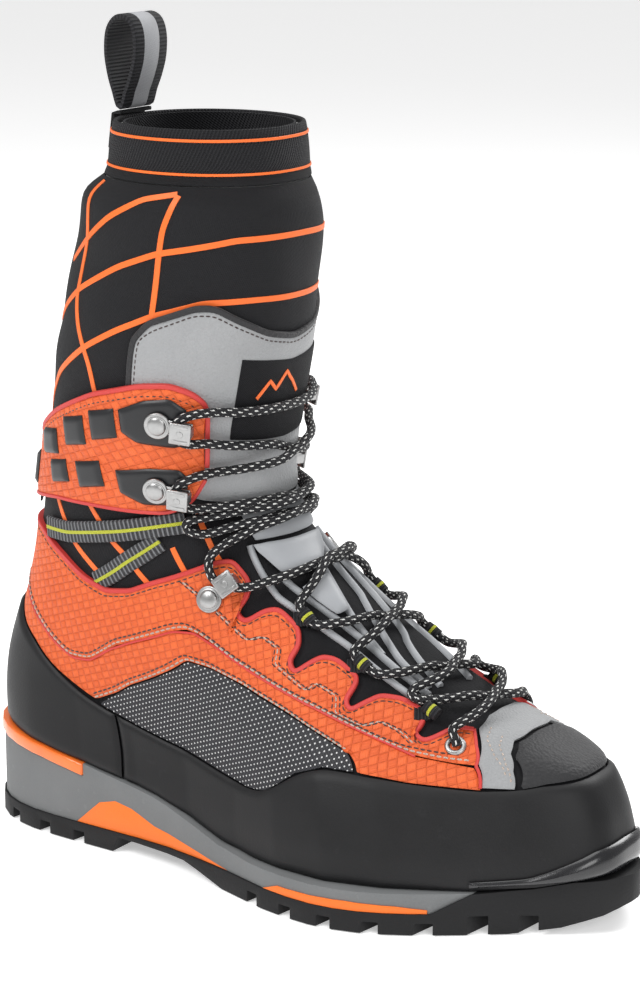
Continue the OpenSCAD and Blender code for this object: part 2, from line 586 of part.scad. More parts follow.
// The chart point whose place on the surface has the given coordinates on a hook's own plane
function aim(q, goal, w, z, steps = 6) = steps == 0 ? [w, z] :
  let (n = normal(q[0], q[1]), x = cross([0, 0, 1], n) / norm([n[0], n[1]]), y = cross(n, x),
       v = s0(w, z) - s0(q[0], q[1]), degrees = 2 / norm(s0(q[0] + 1, q[1]) - s0(q[0] - 1, q[1])))
  aim(q, goal, w + degrees * (goal[0] - v * x), z + 0.8 * (goal[1] - v * y), steps - 1);
// The lace round a hook: a chart point for each place on the hook's own plane
function turn(q, d, tilt = 0) =
  [for (p = [[17.5, -6.6, 0.4], [10.8, -4, 1], [9.2, 0, 1], [10.8, 4, 1], [17.5, 6.6, 0.4]])
    let (goal = [p[0] * cos(tilt) - p[1] * sin(tilt), p[0] * sin(tilt) + p[1] * cos(tilt)],
         c = aim(q, goal, q[0], q[1]), drop = (s0(q[0], q[1]) - s0(c[0], c[1])) * normal(q[0], q[1]))
    [c[0], c[1], d + p[2] * max(-1.2, drop)]];
function loop_pass(q) = [[q[0] + 5, q[1] - 4.6, bead], [q[0] + 5, q[1] + 4.6, bead]];
function cross_over(z, dz, d) = [for (k = [-1:0.5:1]) [180 + 8 * k, z + dz * k, d]];
function flip(l) = [for (q = l) [360 - q[0], q[1], q[2]]];
function back(l) = [for (i = [len(l) - 1:-1:0]) l[i]];
eyelet_exit = [[146.5, 71, panel_out + 1.9 + lace_r], [151, 75.5, panel_out + 1 + lace_r]];
instep_turn = turn(instep_hook_at, instep_seat + hook_run, hook_tilt);
function run_a(o, u) = concat(
  eyelet_exit, cross_over(80, 2, o), flip(loop_pass(loop_at[0])),
  back(cross_over(89, -2, u)), loop_pass(loop_at[1]), cross_over(108, 2, o), flip(loop_pass(loop_at[2])),
  back(cross_over(127.5, -1, u)), instep_turn);
lace_a = run_a(high_run, low_run);
lace_b = flip(run_a(low_run, high_run));
function chart_line(p, step) = concat([for (i = [0:len(p) - 2])
  let (n = max(1, round(norm(s0(p[i + 1][0], p[i + 1][1]) - s0(p[i][0], p[i][1])) / step)))
  for (k = [0:n - 1]) lerp(p[i], p[i + 1], k / n)], [p[len(p) - 1]]);
function tube(chart, r, sides = 8, step = 9) =
  let (line = chart_line(chart, step), route = [for (q = line) s(q[0], q[1], q[2])],
       up = [for (q = line) normal(q[0], q[1])], m = len(route),
       p = [for (i = [0:m - 1])
         let (v = route[min(m - 1, i + 1)] - route[max(0, i - 1)], f = v / norm(v),
              x = cross(f, up[i]), a = x / norm(x), b = cross(a, f))
         for (k = [0:sides - 1]) route[i] + r * (cos(k * 360 / sides) * a + sin(k * 360 / sides) * b)],
       f = [for (i = [0:m - 2]) for (k = [0:sides - 1])
         let (a = i * sides + k, b = i * sides + (k + 1) % sides, c = a + sides, d = b + sides)
         each [[a, d, b], [a, c, d]]],
       e = concat([for (k = [1:sides - 2]) [0, k, k + 1]],
                  [for (k = [1:sides - 2]) let (o = (m - 1) * sides) [o, o + k + 1, o + k]]))
  [p, concat(f, e)];
module lace_lower() { color("#17171a") draw(join([tube(lace_a, lace_r), tube(lace_b, lace_r)])); }
lower_turn = turn(lower_hook_at, cuff_seat + hook_run);
upper_turn = turn(upper_hook_at, cuff_seat + hook_run);
strap_turn = [[128, 144, 5.6], [122, 144.4, 5.2], [119, 147.4, 5.2], [122, 150.4, 5.2], [128, 151, 5.6]];
ankle_start = lerp(instep_turn[4], [172, 145, low_run], 0.03);
ankle_end = lerp(lower_turn[0], [172, 156.5, low_run], 0.03);
function ankle_run(o, u) = concat([ankle_start], cross_over(146, 1, o), flip(strap_turn),
  back(cross_over(157, -1, u)), [ankle_end]);
module lace_crossing() {
  color("#17171a") draw(join([tube(ankle_run(high_run, low_run), lace_r),
    tube(flip(ankle_run(low_run, high_run)), lace_r)]));
}
shaft_route = concat(lower_turn, cross_over(180, 1, high_run), flip(upper_turn),
  back(cross_over(206.5, 0.3, low_run)), back(upper_turn),
  cross_over(180, -1, low_run), flip(back(lower_turn)));
module lace_upper() { color("#17171a") draw(tube(shaft_route, lace_r)); }

// ---- Pull loop and tag ----
hinge_z = boot_height + 4.2;
hinge_x = s0(0, 314)[0] + 0.2;
loop_round = 2;
anchor_top = hinge_z - loop_round - 0.2;
anchor_length = 16;
// How far the collar's back leans out at the anchor's lower end
anchor_lean = s0(0, 314 - anchor_length / kz)[0] - s0(0, 314)[0];
module loop_anchor() {
  color("#202124")
    translate([hinge_x, loop_width / 2, 0]) rotate([90, 0, 0]) linear_extrude(height = loop_width)
    polygon([[anchor_lean - collar_thick - 2.2, anchor_top - anchor_length],
      [anchor_lean - collar_thick - 0.6, anchor_top - anchor_length],
      [-collar_thick - 0.6, boot_height + 0.4], [0.6, boot_height + 0.4], [0.6, anchor_top],
      [-1.2, anchor_top], [-collar_thick - 2.2, boot_height + 1]]);
}
// Centre line of the loop's strap above its hinge, as fractions of its width and its rise
loop_shape = [[0, 0], [-3.5, 0.16], [-6.5, 0.36], [-8, 0.6], [-7, 0.82], [-3, 0.96], [2.5, 1],
  [7.5, 0.93], [10, 0.76], [9.5, 0.55], [7, 0.34], [3.5, 0.16]];
module pull_loop() {
  inner = [for (i = [0:len(loop_shape) - 1]) for (k = [0, 0.34, 0.67])
    let (q = spline(loop_shape, i, k)) [q[0], q[1] * (loop_rise - loop_thick)]];
  keep = [for (i = [4:len(inner) - 4]) inner[i]];
  outer = inset(inner, loop_thick);
  color("#202124") translate([hinge_x, loop_width / 2, hinge_z]) rotate([90, 0, 0])
    linear_extrude(height = loop_width) difference() {
      polygon(concat([for (q = outer) if (q[1] > 1.2) q],
                     [for (a = [-20:-20:-160]) loop_round * [cos(a), sin(a)]]));
      polygon(keep);
    }
}
tag_at = [22, 149];
module side_tag() {
  color("#18181a") seat(tag_at[0], tag_at[1], cuff_in - 0.1) translate([-4, -8.8, -1.4]) cube([9, 10.3, 0.9]);
}

outsole();
midsole();
arch_insert();
forefoot_insert();
heel_welt();
heel_plug();
toe_bumper();
shank();
insole_board();
footbed();
foot_lining();
upper_base();
heel_rand();
toe_rand();
toe_cap();
vamp_band();
mesh_panel_lateral();
mesh_panel_medial();
side_band_lateral();
side_band_medial();
quarter_lateral();
quarter_medial();
tongue_guard();
lace_loops();
toe_eyelets();
instep_hooks();
instep_rivets();
lace_lower();
ankle_gaiter();
ankle_lining();
ankle_straps();
tongue_flex();
lace_crossing();
shaft_lining();
gaiter();
collar_band();
tongue_top();
tongue_label();
cuff();
cuff_tiles();
hook_bases();
cuff_hooks();
cuff_rivets();
lace_upper();
side_tag();
loop_anchor();
pull_loop();
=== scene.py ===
import math

import bpy
import numpy as np
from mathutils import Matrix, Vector


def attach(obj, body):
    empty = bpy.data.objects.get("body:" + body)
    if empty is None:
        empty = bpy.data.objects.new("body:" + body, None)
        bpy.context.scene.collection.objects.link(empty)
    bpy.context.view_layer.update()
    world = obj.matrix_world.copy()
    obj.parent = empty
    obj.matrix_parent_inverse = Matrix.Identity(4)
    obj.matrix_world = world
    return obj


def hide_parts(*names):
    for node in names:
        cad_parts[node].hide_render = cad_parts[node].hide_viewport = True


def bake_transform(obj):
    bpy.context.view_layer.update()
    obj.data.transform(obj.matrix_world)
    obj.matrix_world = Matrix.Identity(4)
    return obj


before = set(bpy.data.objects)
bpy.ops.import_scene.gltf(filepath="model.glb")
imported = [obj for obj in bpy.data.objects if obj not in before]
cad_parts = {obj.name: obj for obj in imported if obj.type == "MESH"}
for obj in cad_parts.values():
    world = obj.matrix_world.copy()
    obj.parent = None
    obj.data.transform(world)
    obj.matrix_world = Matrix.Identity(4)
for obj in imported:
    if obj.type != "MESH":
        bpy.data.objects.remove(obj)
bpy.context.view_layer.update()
print("frame loaded")

# Camera
cameraSettings = {"azimuth": 33.3, "elevation": 14.0, "place": (0.644, -0.972, 0.452), "lens": 104.6,
                  "shift": 0.005}
turnA, turnE = math.radians(cameraSettings["azimuth"]), math.radians(cameraSettings["elevation"])
lookBack = Vector((math.sin(turnA) * math.cos(turnE), -math.cos(turnA) * math.cos(turnE), math.sin(turnE)))
cameraData = bpy.data.cameras.new("camera")
cameraData.lens, cameraData.sensor_width = cameraSettings["lens"], 36
cameraData.shift_x = cameraSettings["shift"]
camera = bpy.data.objects.new("camera", cameraData)
bpy.context.scene.collection.objects.link(camera)
camera.location = cameraSettings["place"]
camera.rotation_mode = "QUATERNION"
camera.rotation_quaternion = (-lookBack).to_track_quat("-Z", "Y")
bpy.context.scene.camera = camera

# The last that every upper part is laid on: height, back, front, lateral and medial half width,
# shift of the front, roundness of the back and of the front, in millimetres
lastRows = np.array([
    [14, -146, 148, 60, 47, 6, 0.80, 0.62], [30, -147, 147, 60, 48, 7, 0.80, 0.62],
    [45, -148, 143, 57, 47, 8, 0.80, 0.64], [57, -149.5, 137, 53, 46, 9, 0.80, 0.66],
    [65, -149.5, 128, 50, 44, 9, 0.80, 0.66], [71, -149, 108, 47, 42, 9, 0.80, 0.66],
    [80, -147, 87, 44, 40, 9, 0.80, 0.68], [92, -143, 62, 41, 38, 9, 0.80, 0.70],
    [106, -138, 38, 38, 36, 8, 0.80, 0.74], [121, -134, 18, 36, 35, 7, 0.80, 0.78],
    [136, -131, -2, 36, 36, 6, 0.82, 0.82], [152, -128, -13, 37, 37, 3, 0.84, 0.86],
    [170, -124, -15, 40, 40, 1, 0.86, 0.88], [190, -120, -13, 44, 44, 0, 0.88, 0.88],
    [220, -116, -8, 47, 47, 0, 0.88, 0.88], [250, -108, -3, 47, 47, 0, 0.88, 0.88],
    [275, -102, 0, 45, 45, 0, 0.88, 0.88], [286, -99.5, -1, 44, 44, 0, 0.88, 0.88],
    [292, -88.5, -7, 37, 38, 0, 0.88, 0.88], [315, -85.5, -9, 35.5, 37, 0, 0.88, 0.88]])
lateralFullness = np.array([[0, 1], [0.1, 0.92], [0.2, 0.78], [0.3, 0.7], [0.4, 0.71], [0.5, 0.82],
                            [0.58, 0.95], [0.66, 1.02], [0.74, 0.98], [0.82, 0.86], [0.9, 0.72], [1, 0.62]])
medialFullness = np.array([[0, 1.1], [0.1, 1.02], [0.2, 0.86], [0.3, 0.76], [0.4, 0.7], [0.5, 0.76],
                           [0.6, 0.92], [0.7, 1.04], [0.8, 1.08], [0.9, 1.02], [1, 0.95]])
soleRows = np.array([[-155, 45], [-140, 43], [-112, 40], [-89, 36.5], [-71, 33.5], [-48, 29.5], [-23, 22.5],
                     [-9, 18.7], [10, 17], [106, 17.5], [126, 19.5], [140, 22.5], [158, 24]])
heights = np.arange(0, 331)
blendReach, blendWidth = 12, 3.2  # how far the rows are smoothed into each other, in millimetres
bell = np.exp(-0.5 * (np.arange(-blendReach, blendReach + 1) / blendWidth) ** 2)
bell /= bell.sum()


def softened(column):
    line = np.interp(heights, lastRows[:, 0], lastRows[:, column])
    return np.convolve(np.pad(line, blendReach, mode="reflect", reflect_type="odd"), bell, "valid")


lastColumns = [softened(c) for c in range(1, 8)]


def onLast(t, z):
    # Place on the last: t turns from the heel (0) by the lateral side (90) to the toe (180), z is the height
    t, z = np.broadcast_arrays(np.asarray(t, float), np.asarray(z, float))
    a = np.radians(t)
    u, v = (1 - np.cos(a)) / 2, np.sin(a)
    k = np.clip((z - 40) / 70, 0, 1)  # the foot's outline fades into the round shaft
    k = k * k * (3 - 2 * k)
    columns = [np.interp(z, heights, column) for column in lastColumns]
    back, front, lat, med, drift, roundBack, roundFront = columns
    full = np.where(v > 0, np.interp(u, *lateralFullness.T), np.interp(u, *medialFullness.T))
    h = np.abs(v) ** (roundBack + (roundFront - roundBack) * u) * (full + (1 - full) * k)
    y = drift * u * u
    return np.stack([back + (front - back) * u, np.where(v > 0, y - lat * h, y + med * h), z], -1)


def unit(v): return v / np.linalg.norm(v, axis=-1, keepdims=True)


def outward(t, z):
    return unit(np.cross(onLast(t + 1.5, z) - onLast(t - 1.5, z), onLast(t, z + 1.5) - onLast(t, z - 1.5)))


def onLayer(t, z, d):
    t, z, d = np.broadcast_arrays(np.asarray(t, float), np.asarray(z, float), np.asarray(d, float))
    return onLast(t, z) + d[..., None] * outward(t, z)


girthSteps = (4.0, 5.0)
girthT, girthZ = np.arange(-180, 541, girthSteps[0]), np.arange(10, 326, girthSteps[1])
girthGrid = onLast(girthT[:, None], girthZ[None, :])
girthTable = np.concatenate([np.zeros((1, len(girthZ))),
                             np.cumsum(np.linalg.norm(np.diff(girthGrid, axis=0), axis=-1), axis=0)])


def girth(t, z):
    # Length round the last from the heel, which is the U of every cloth piece
    a = np.clip((t - girthT[0]) / girthSteps[0], 0, len(girthT) - 1.001)
    b = np.clip((z - girthZ[0]) / girthSteps[1], 0, len(girthZ) - 1.001)
    i, j = a.astype(int), b.astype(int)
    fa, fb = a - i, b - j
    g = girthTable
    low, high = [g[i, j + k] * (1 - fa) + g[i + 1, j + k] * fa for k in (0, 1)]
    return low * (1 - fb) + high * fb


def soleTop(x):
    return np.interp(x, *soleRows.T)


def soleLine(t):
    a = soleTop(onLast(t, 25.0)[..., 0])
    return soleTop(onLast(t, a)[..., 0])


# Distances of the layers outside the last, in millimetres
layer = {"fabric": 0.8, "panelIn": 1.3, "panelOut": 2.7, "randOut": 3.7, "tongueOut": 2.5, "guardOut": 3.3,
         "cuffOut": 4.6, "tileOut": 6.75}


halfTurn, fullTurn = 3.14159, 6.2832
soot, ink, tar = (0.003, 0.003, 0.004), (0.004, 0.004, 0.005), (0.004, 0.004, 0.0045)  # darkest colours


# Shader nodes: a wire adds, multiplies and compares as a number does
class Wire:
    def __init__(self, finish, socket):
        self.finish, self.socket = finish, socket

    def maths(self, operation, *values):
        return self.finish.node("ShaderNodeMath", {"operation": operation}, dict(enumerate(values)))

    def __add__(self, other): return self.maths("ADD", self, other)
    def __radd__(self, other): return self.maths("ADD", other, self)
    def __sub__(self, other): return self.maths("SUBTRACT", self, other)
    def __rsub__(self, other): return self.maths("SUBTRACT", other, self)
    def __mul__(self, other): return self.maths("MULTIPLY", self, other)
    def __rmul__(self, other): return self.maths("MULTIPLY", other, self)
    def __truediv__(self, other): return self.maths("DIVIDE", self, other)
    def __mod__(self, other): return self.maths("FLOORED_MODULO", self, other)
    def __gt__(self, other): return self.maths("GREATER_THAN", self, other)
    def __lt__(self, other): return self.maths("LESS_THAN", self, other)
    def sine(self): return self.maths("SINE", self)
    def whole(self): return self.maths("FLOOR", self)
    def power(self, other): return self.maths("POWER", self, other)
    def most(self, other): return self.maths("MAXIMUM", self, other)
    def least(self, other): return self.maths("MINIMUM", self, other)


class Finish:
    def __init__(self, name, **fixed):
        self.material = bpy.data.materials.new(name)
        self.material.use_nodes = True
        self.tree = self.material.node_tree
        self.tree.nodes.clear()
        self.shader = self.tree.nodes.new("ShaderNodeBsdfPrincipled")
        out = self.tree.nodes.new("ShaderNodeOutputMaterial")
        self.tree.links.new(self.shader.outputs[0], out.inputs[0])
        for key, value in fixed.items():
            self.shader.inputs[key].default_value = value
        self.coordinates = None

    def node(self, kind, settings=None, sockets=None, out=0):
        made = self.tree.nodes.new(kind)
        for key, value in (settings or {}).items():
            setattr(made, key, value)
        for key, value in (sockets or {}).items():
            if isinstance(value, Wire):
                self.tree.links.new(value.socket, made.inputs[key])
            else:
                made.inputs[key].default_value = value
        return Wire(self, made.outputs[out])

    def uv(self):
        if self.coordinates is None:
            flat = self.node("ShaderNodeUVMap", {"uv_map": "UVMap"})
            parts = self.node("ShaderNodeSeparateXYZ", {}, {0: flat})
            across = Wire(self, parts.socket.node.outputs[1])
            self.coordinates = parts * 1000, across * 1000
        return self.coordinates

    def sideways(self):
        # Length and height of the boot, in millimetres
        parts = self.node("ShaderNodeSeparateXYZ", {}, {0: self.node("ShaderNodeTexCoord", {}, {}, 3)})
        return parts * 1000, Wire(self, parts.socket.node.outputs[2]) * 1000

    def noise(self, perMetre, detail=2.0, roughness=0.5):
        place = self.node("ShaderNodeTexCoord", {}, {}, 3)
        return self.node("ShaderNodeTexNoise", {}, {"Vector": place, "Scale": perMetre, "Detail": detail,
                                                    "Roughness": roughness})

    def mix(self, factor, a, b):
        a, b = [c if isinstance(c, Wire) else (*c, 1) for c in (a, b)]
        return self.node("ShaderNodeMix", {"data_type": "RGBA"}, {0: factor, 6: a, 7: b}, 2)

    def bump(self, height, millimetres):
        return self.node("ShaderNodeBump", {}, {"Height": height, "Distance": millimetres / 1000,
                                                "Strength": 1.0})

    def done(self, colour=None, rough=None, normal=None, **more):
        for key, value in {"Base Color": colour, "Roughness": rough, "Normal": normal, **more}.items():
            if value is None:
                continue
            if isinstance(value, Wire):
                self.tree.links.new(value.socket, self.shader.inputs[key])
            else:
                self.shader.inputs[key].default_value = (*value, 1) if isinstance(value, tuple) else value
        return self.material


def makeSoftshell():
    f = Finish("softshell", **{"Sheen Weight": 0.02, "Sheen Roughness": 0.5, "Specular IOR Level": 0.22})
    u, v = f.uv()
    twill = ((u + v) * 7.2).sine() * 0.5 + ((u - v) * 7.2).sine() * 0.5
    fuzz = f.noise(900, 3)
    cloud = f.noise(26, 2)
    tone = cloud * 0.5 + twill * 0.12 + fuzz * 0.3
    return f.done(f.mix(tone, soot, (0.013, 0.013, 0.015)), cloud * 0.16 + 0.66,
                  f.bump(twill * 0.5 + fuzz * 1.2, 0.16))


def makeMicrofibre(name, dark, light, grain=1.0):
    f = Finish(name, **{"Specular IOR Level": 0.4, "Sheen Weight": 0.08})
    pebbles = f.node("ShaderNodeTexVoronoi", {"feature": "F1"},
                     {"Vector": f.node("ShaderNodeTexCoord", {}, {}, 3), "Scale": 900.0 * grain})
    fine = f.noise(1500, 3)
    cloud = f.noise(40, 3)
    return f.done(f.mix(cloud * 0.6 + fine * 0.35, dark, light), fine * 0.2 + 0.5,
                  f.bump(pebbles * 1.2 + fine * 0.6, 0.22))


def makeBasket(name, dark, light, cell=4.4, fromSide=False):
    f = Finish(name, **{"Specular IOR Level": 0.35})
    u, v = f.sideways() if fromSide else f.uv()
    a, b = (u + v * 0.35) / cell, (v - u * 0.35) / (cell * 0.9)
    odd = (a.whole() + b.whole()) % 2.0
    fa, fb = a % 1.0, b % 1.0
    dome = ((fa * halfTurn).sine() * (fb * halfTurn).sine()).power(0.45)
    threads = odd * ((fa * 25.1).sine() * 0.5) + (1 - odd) * ((fb * 25.1).sine() * 0.5)
    wear, fine = f.noise(34, 3), f.noise(1300, 2)
    tone = (dome * 0.3 + odd * 0.2 + wear * 0.5 + fine * 0.25 - 0.12).most(0.0).least(1.0)
    return f.done(f.mix(tone, dark, light), fine * 0.2 + 0.46,
                  f.bump(dome * 1.4 + threads * 0.25 + odd * 0.35 + fine * 0.4, 0.34))


def makeRubber(name, dark, light, rough=0.55, grain=1200, depth=0.1):
    f = Finish(name, **{"Specular IOR Level": 0.25})
    fine, cloud = f.noise(grain, 3), f.noise(45, 3)
    scuff = (f.noise(160, 4, 0.7) > 0.66) * 0.2
    return f.done(f.mix(cloud * 0.6 + fine * 0.3 + scuff, dark, light),
                  cloud * 0.2 + fine * 0.12 + rough - 0.15,
                  f.bump(fine + cloud * 0.6, depth))


def makeGloss(name, dark, light, rough=0.22, coat=0.4, **fixed):
    f = Finish(name, **{"Specular IOR Level": 0.35, "Coat Weight": coat, "Coat Roughness": 0.18, **fixed})
    cloud, fine = f.noise(60, 3), f.noise(1600, 2)
    return f.done(f.mix(cloud, dark, light), cloud * 0.12 + fine * 0.08 + rough,
                  f.bump(fine * 0.5 + cloud * 0.5, 0.05))


def makeMetal(name, dark, light, rough=0.3):
    f = Finish(name, **{"Metallic": 1.0})
    cloud, fine = f.noise(240, 4, 0.7), f.noise(3000, 2)
    return f.done(f.mix(cloud, dark, light), cloud * 0.2 + fine * 0.12 + rough - 0.1,
                  f.bump(fine + cloud * 0.7, 0.03))


def makeWebbing(name, dark, light, rib):
    f = Finish(name, **{"Sheen Weight": 0.03, "Specular IOR Level": 0.25})
    u, v = f.uv()
    ribs = (u * (fullTurn / rib)).sine() * 0.5 + 0.5
    threads = (v * 9.0 + u * 3.0).sine() * 0.5 + 0.5
    fine = f.noise(1400, 2)
    # Each rib crest mixes towards the light colour: a painted highlight along the ribs
    colour = f.mix(ribs.power(3.0) * 0.75 + fine * 0.25, dark, light)
    return f.done(colour, fine * 0.2 + 0.6, f.bump(ribs * 1.2 + threads * 0.3 + fine * 0.3, 0.35))


def makeLace():
    f = Finish("braidedLace", **{"Sheen Weight": 0.02, "Specular IOR Level": 0.25})
    u, v = f.uv()
    way = v * 0.5
    ra, rb = (u * 3.3 + way * fullTurn).sine(), (u * 3.3 - way * fullTurn).sine()
    braid = (ra * 0.5 + 0.5).most(rb * 0.5 + 0.5)
    slot = (u / 3.6 + way * 0.5)
    flecks = ((slot % 1.0) < 0.46) * (((way + slot.whole() * 0.5) % 1.0) < 0.3)
    fine = f.noise(1700, 2)
    mask = flecks * ((braid + fine * 0.3) > 0.5)
    colour = f.mix(mask, f.mix(braid, soot, (0.014, 0.014, 0.016)), (0.62, 0.62, 0.60))
    return f.done(colour, fine * 0.2 + 0.55, f.bump(braid * 1.2 + fine * 0.3, 0.3))


def makeKnit():
    f = Finish("ribbedKnit", **{"Sheen Weight": 0.03, "Specular IOR Level": 0.2})
    u, v = f.uv()
    ribs = (u * 4.2).sine() * 0.5 + 0.5
    rows = (v * 6.6).sine() * 0.5 + 0.5
    fine = f.noise(1300, 2)
    return f.done(f.mix(ribs * 0.6 + fine * 0.4, soot, (0.016, 0.016, 0.018)),
                  fine * 0.2 + 0.66,
                  f.bump(ribs * 1.1 + rows * 0.5 + fine * 0.3, 0.35))


def makeMesh():
    f = Finish("dottedMesh", **{"Specular IOR Level": 0.25})
    u, v = f.sideways()
    a, b = (u + v * 0.4) / 2.1, (v - u * 0.4) / 2.1
    shifted = a + (b.whole() % 2.0) * 0.5
    fa, fb = (shifted % 1.0) - 0.5, (b % 1.0) - 0.5
    spot = (fa * fa + fb * fb) < 0.03
    hole = (((u * 5.0).sine() * (v * 5.0).sine()) > 0.1)
    fine = f.noise(1500, 2)
    colour = f.mix(hole * 0.6 + fine * 0.4, (0.045, 0.045, 0.050), (0.010, 0.010, 0.012))
    return f.done(f.mix(spot, colour, (0.6, 0.6, 0.6)), fine * 0.2 + 0.55, f.bump(spot * 1.0 - hole * 0.8, 0.3))


def makeFabric(name, dark, light, pitch=1.1, depth=0.25, sheen=0.1):
    f = Finish(name, **{"Sheen Weight": sheen, "Specular IOR Level": 0.2})
    u, v = f.uv()
    weave = (u * (fullTurn / pitch)).sine() * (v * (fullTurn / pitch)).sine()
    fine, cloud = f.noise(1300, 3), f.noise(50, 2)
    return f.done(f.mix(weave * 0.25 + fine * 0.35 + cloud * 0.4, dark, light), fine * 0.2 + 0.66,
                  f.bump(weave + fine * 0.5, depth))


def makeThread(name, first, second):
    f = Finish(name, **{"Sheen Weight": 0.2})
    u, v = f.uv()
    twist = ((u * 9 + v * 14).sine() * 0.5 + 0.5)
    return f.done(f.mix(twist, first, second), 0.6, f.bump(twist, 0.1))


def makeTint(name, dark, light, rough=0.5):
    f = Finish(name, **{"Specular IOR Level": 0.4})
    fine, cloud = f.noise(1400, 3), f.noise(60, 2)
    return f.done(f.mix(fine * 0.5 + cloud * 0.4, dark, light), fine * 0.2 + rough - 0.1, f.bump(fine, 0.08))


finishes = {
    "softshell": makeSoftshell(),
    "basket": makeBasket("orangeBasket", (0.44, 0.052, 0.008), (0.76, 0.138, 0.030)),
    "basketSide": makeBasket("orangeBasketSide", (0.44, 0.052, 0.008), (0.76, 0.138, 0.030), 3.7, True),
    "coral": makeTint("coralEdge", (0.40, 0.022, 0.020), (0.60, 0.055, 0.045), 0.5),
    "greyFibre": makeMicrofibre("greyMicrofibre", (0.20, 0.205, 0.21), (0.34, 0.345, 0.35)),
    "capFibre": makeMicrofibre("toeCapMicrofibre", (0.005, 0.005, 0.006), (0.022, 0.022, 0.024), 0.8),
    "mesh": makeMesh(),
    "rand": makeRubber("randRubber", tar, (0.014, 0.014, 0.015), 0.5, 1100, 0.06),
    "tread": makeRubber("treadRubber", tar, (0.015, 0.015, 0.016), 0.62, 900, 0.12),
    "foam": makeRubber("midsoleFoam", (0.115, 0.12, 0.122), (0.185, 0.19, 0.192), 0.66, 1400, 0.12),
    "insert": makeTint("orangeInsert", (0.70, 0.12, 0.008), (0.88, 0.19, 0.018), 0.45),
    "welt": makeGloss("orangeWelt", (0.74, 0.12, 0.012), (0.90, 0.21, 0.035), 0.26, 0.5,
                      **{"Subsurface Weight": 0.15, "Subsurface Scale": 0.004}),
    "lime": makeGloss("limePlug", (0.32, 0.52, 0.05), (0.46, 0.66, 0.10), 0.3, 0.4),
    "bumper": makeGloss("toeBumper", ink, (0.010, 0.010, 0.012), 0.16, 0.5),
    "tile": makeGloss("blackTile", ink, (0.011, 0.012, 0.014), 0.34, 0.12),
    "guard": makeGloss("greyGuard", (0.26, 0.27, 0.285), (0.34, 0.35, 0.365), 0.42, 0.1),
    "metal": makeMetal("satinSteel", (0.26, 0.26, 0.26), (0.46, 0.46, 0.455), 0.32),
    "lace": makeLace(),
    "knit": makeKnit(),
    "lining": makeFabric("lightLining", (0.30, 0.30, 0.295), (0.46, 0.46, 0.45), 1.3, 0.3),
    "innerMesh": makeFabric("collarLining", ink, (0.026, 0.026, 0.03), 1.8, 0.45, 0.03),
    "label": makeFabric("wovenLabel", soot, (0.012, 0.012, 0.014), 0.8, 0.15, 0.02),
    # The light grey of this webbing is the painted highlight on its rib crests
    "webbing": makeWebbing("ribbedWebbingPaintedHighlight", (0.005, 0.005, 0.006), (0.20, 0.205, 0.215), 2.2),
    "loopWeb": makeWebbing("loopWebbing", ink, (0.026, 0.026, 0.03), 1.5),
    "satin": makeFabric("satinStripe", (0.28, 0.285, 0.30), (0.44, 0.445, 0.46), 0.8, 0.12, 0.1),
    "orangeLine": makeTint("orangePrint", (0.70, 0.11, 0.010), (0.84, 0.16, 0.022), 0.5),
    "yellow": makeFabric("yellowThread", (0.36, 0.38, 0.02), (0.62, 0.64, 0.07), 1.0, 0.2),
    "paleThread": makeThread("paleThread", (0.26, 0.19, 0.15), (0.58, 0.48, 0.41)),
    "darkThread": makeThread("darkThread", (0.008, 0.006, 0.006), (0.05, 0.018, 0.015)),
    "board": makeTint("lastingBoard", (0.26, 0.20, 0.12), (0.38, 0.31, 0.20), 0.7),
    "footbed": makeFabric("footbedFelt", (0.03, 0.032, 0.036), (0.08, 0.085, 0.09), 1.6, 0.3),
    "nylon": makeTint("shankNylon", (0.03, 0.033, 0.036), (0.06, 0.064, 0.07), 0.5),
    "tan": makeTint("tanPrint", (0.34, 0.24, 0.12), (0.5, 0.38, 0.22), 0.6),
}
print("finishes made")


# Modelling helpers
def deselect():
    if bpy.context.mode != "OBJECT":
        bpy.ops.object.mode_set(mode="OBJECT")
    bpy.ops.object.select_all(action="DESELECT")


def active(piece):
    deselect()
    piece.select_set(True)
    bpy.context.view_layer.objects.active = piece
    return piece


def modify(piece, kind, **settings):
    active(piece)
    modifier = piece.modifiers.new(kind, kind)
    for key, value in settings.items():
        setattr(modifier, key, value)
    bpy.ops.object.modifier_apply(modifier=modifier.name)


def rounded(piece, width, segments=3, angle=40, **more):
    modify(piece, "BEVEL", width=width / 1000, segments=segments, limit_method="ANGLE",
           angle_limit=math.radians(angle),
           **more)
    return piece


def edit(piece, *steps):
    active(piece)
    bpy.ops.object.mode_set(mode="EDIT")
    bpy.ops.mesh.select_all(action="SELECT")
    for step in steps:
        step()
    bpy.ops.object.mode_set(mode="OBJECT")


def link(thing):
    bpy.context.scene.collection.objects.link(thing)
    return thing


def copied(source, name):
    copy = source.copy()
    copy.data = source.data.copy()
    copy.name = name
    return link(copy)


def mergeDoubles(): bpy.ops.mesh.remove_doubles(threshold=0.00002)
def outsideOut(): bpy.ops.mesh.normals_make_consistent(inside=False)


def closeEnds():
    bpy.ops.mesh.select_all(action="DESELECT")
    bpy.ops.mesh.select_non_manifold()
    bpy.ops.mesh.edge_face_add()
    bpy.ops.mesh.select_all(action="SELECT")


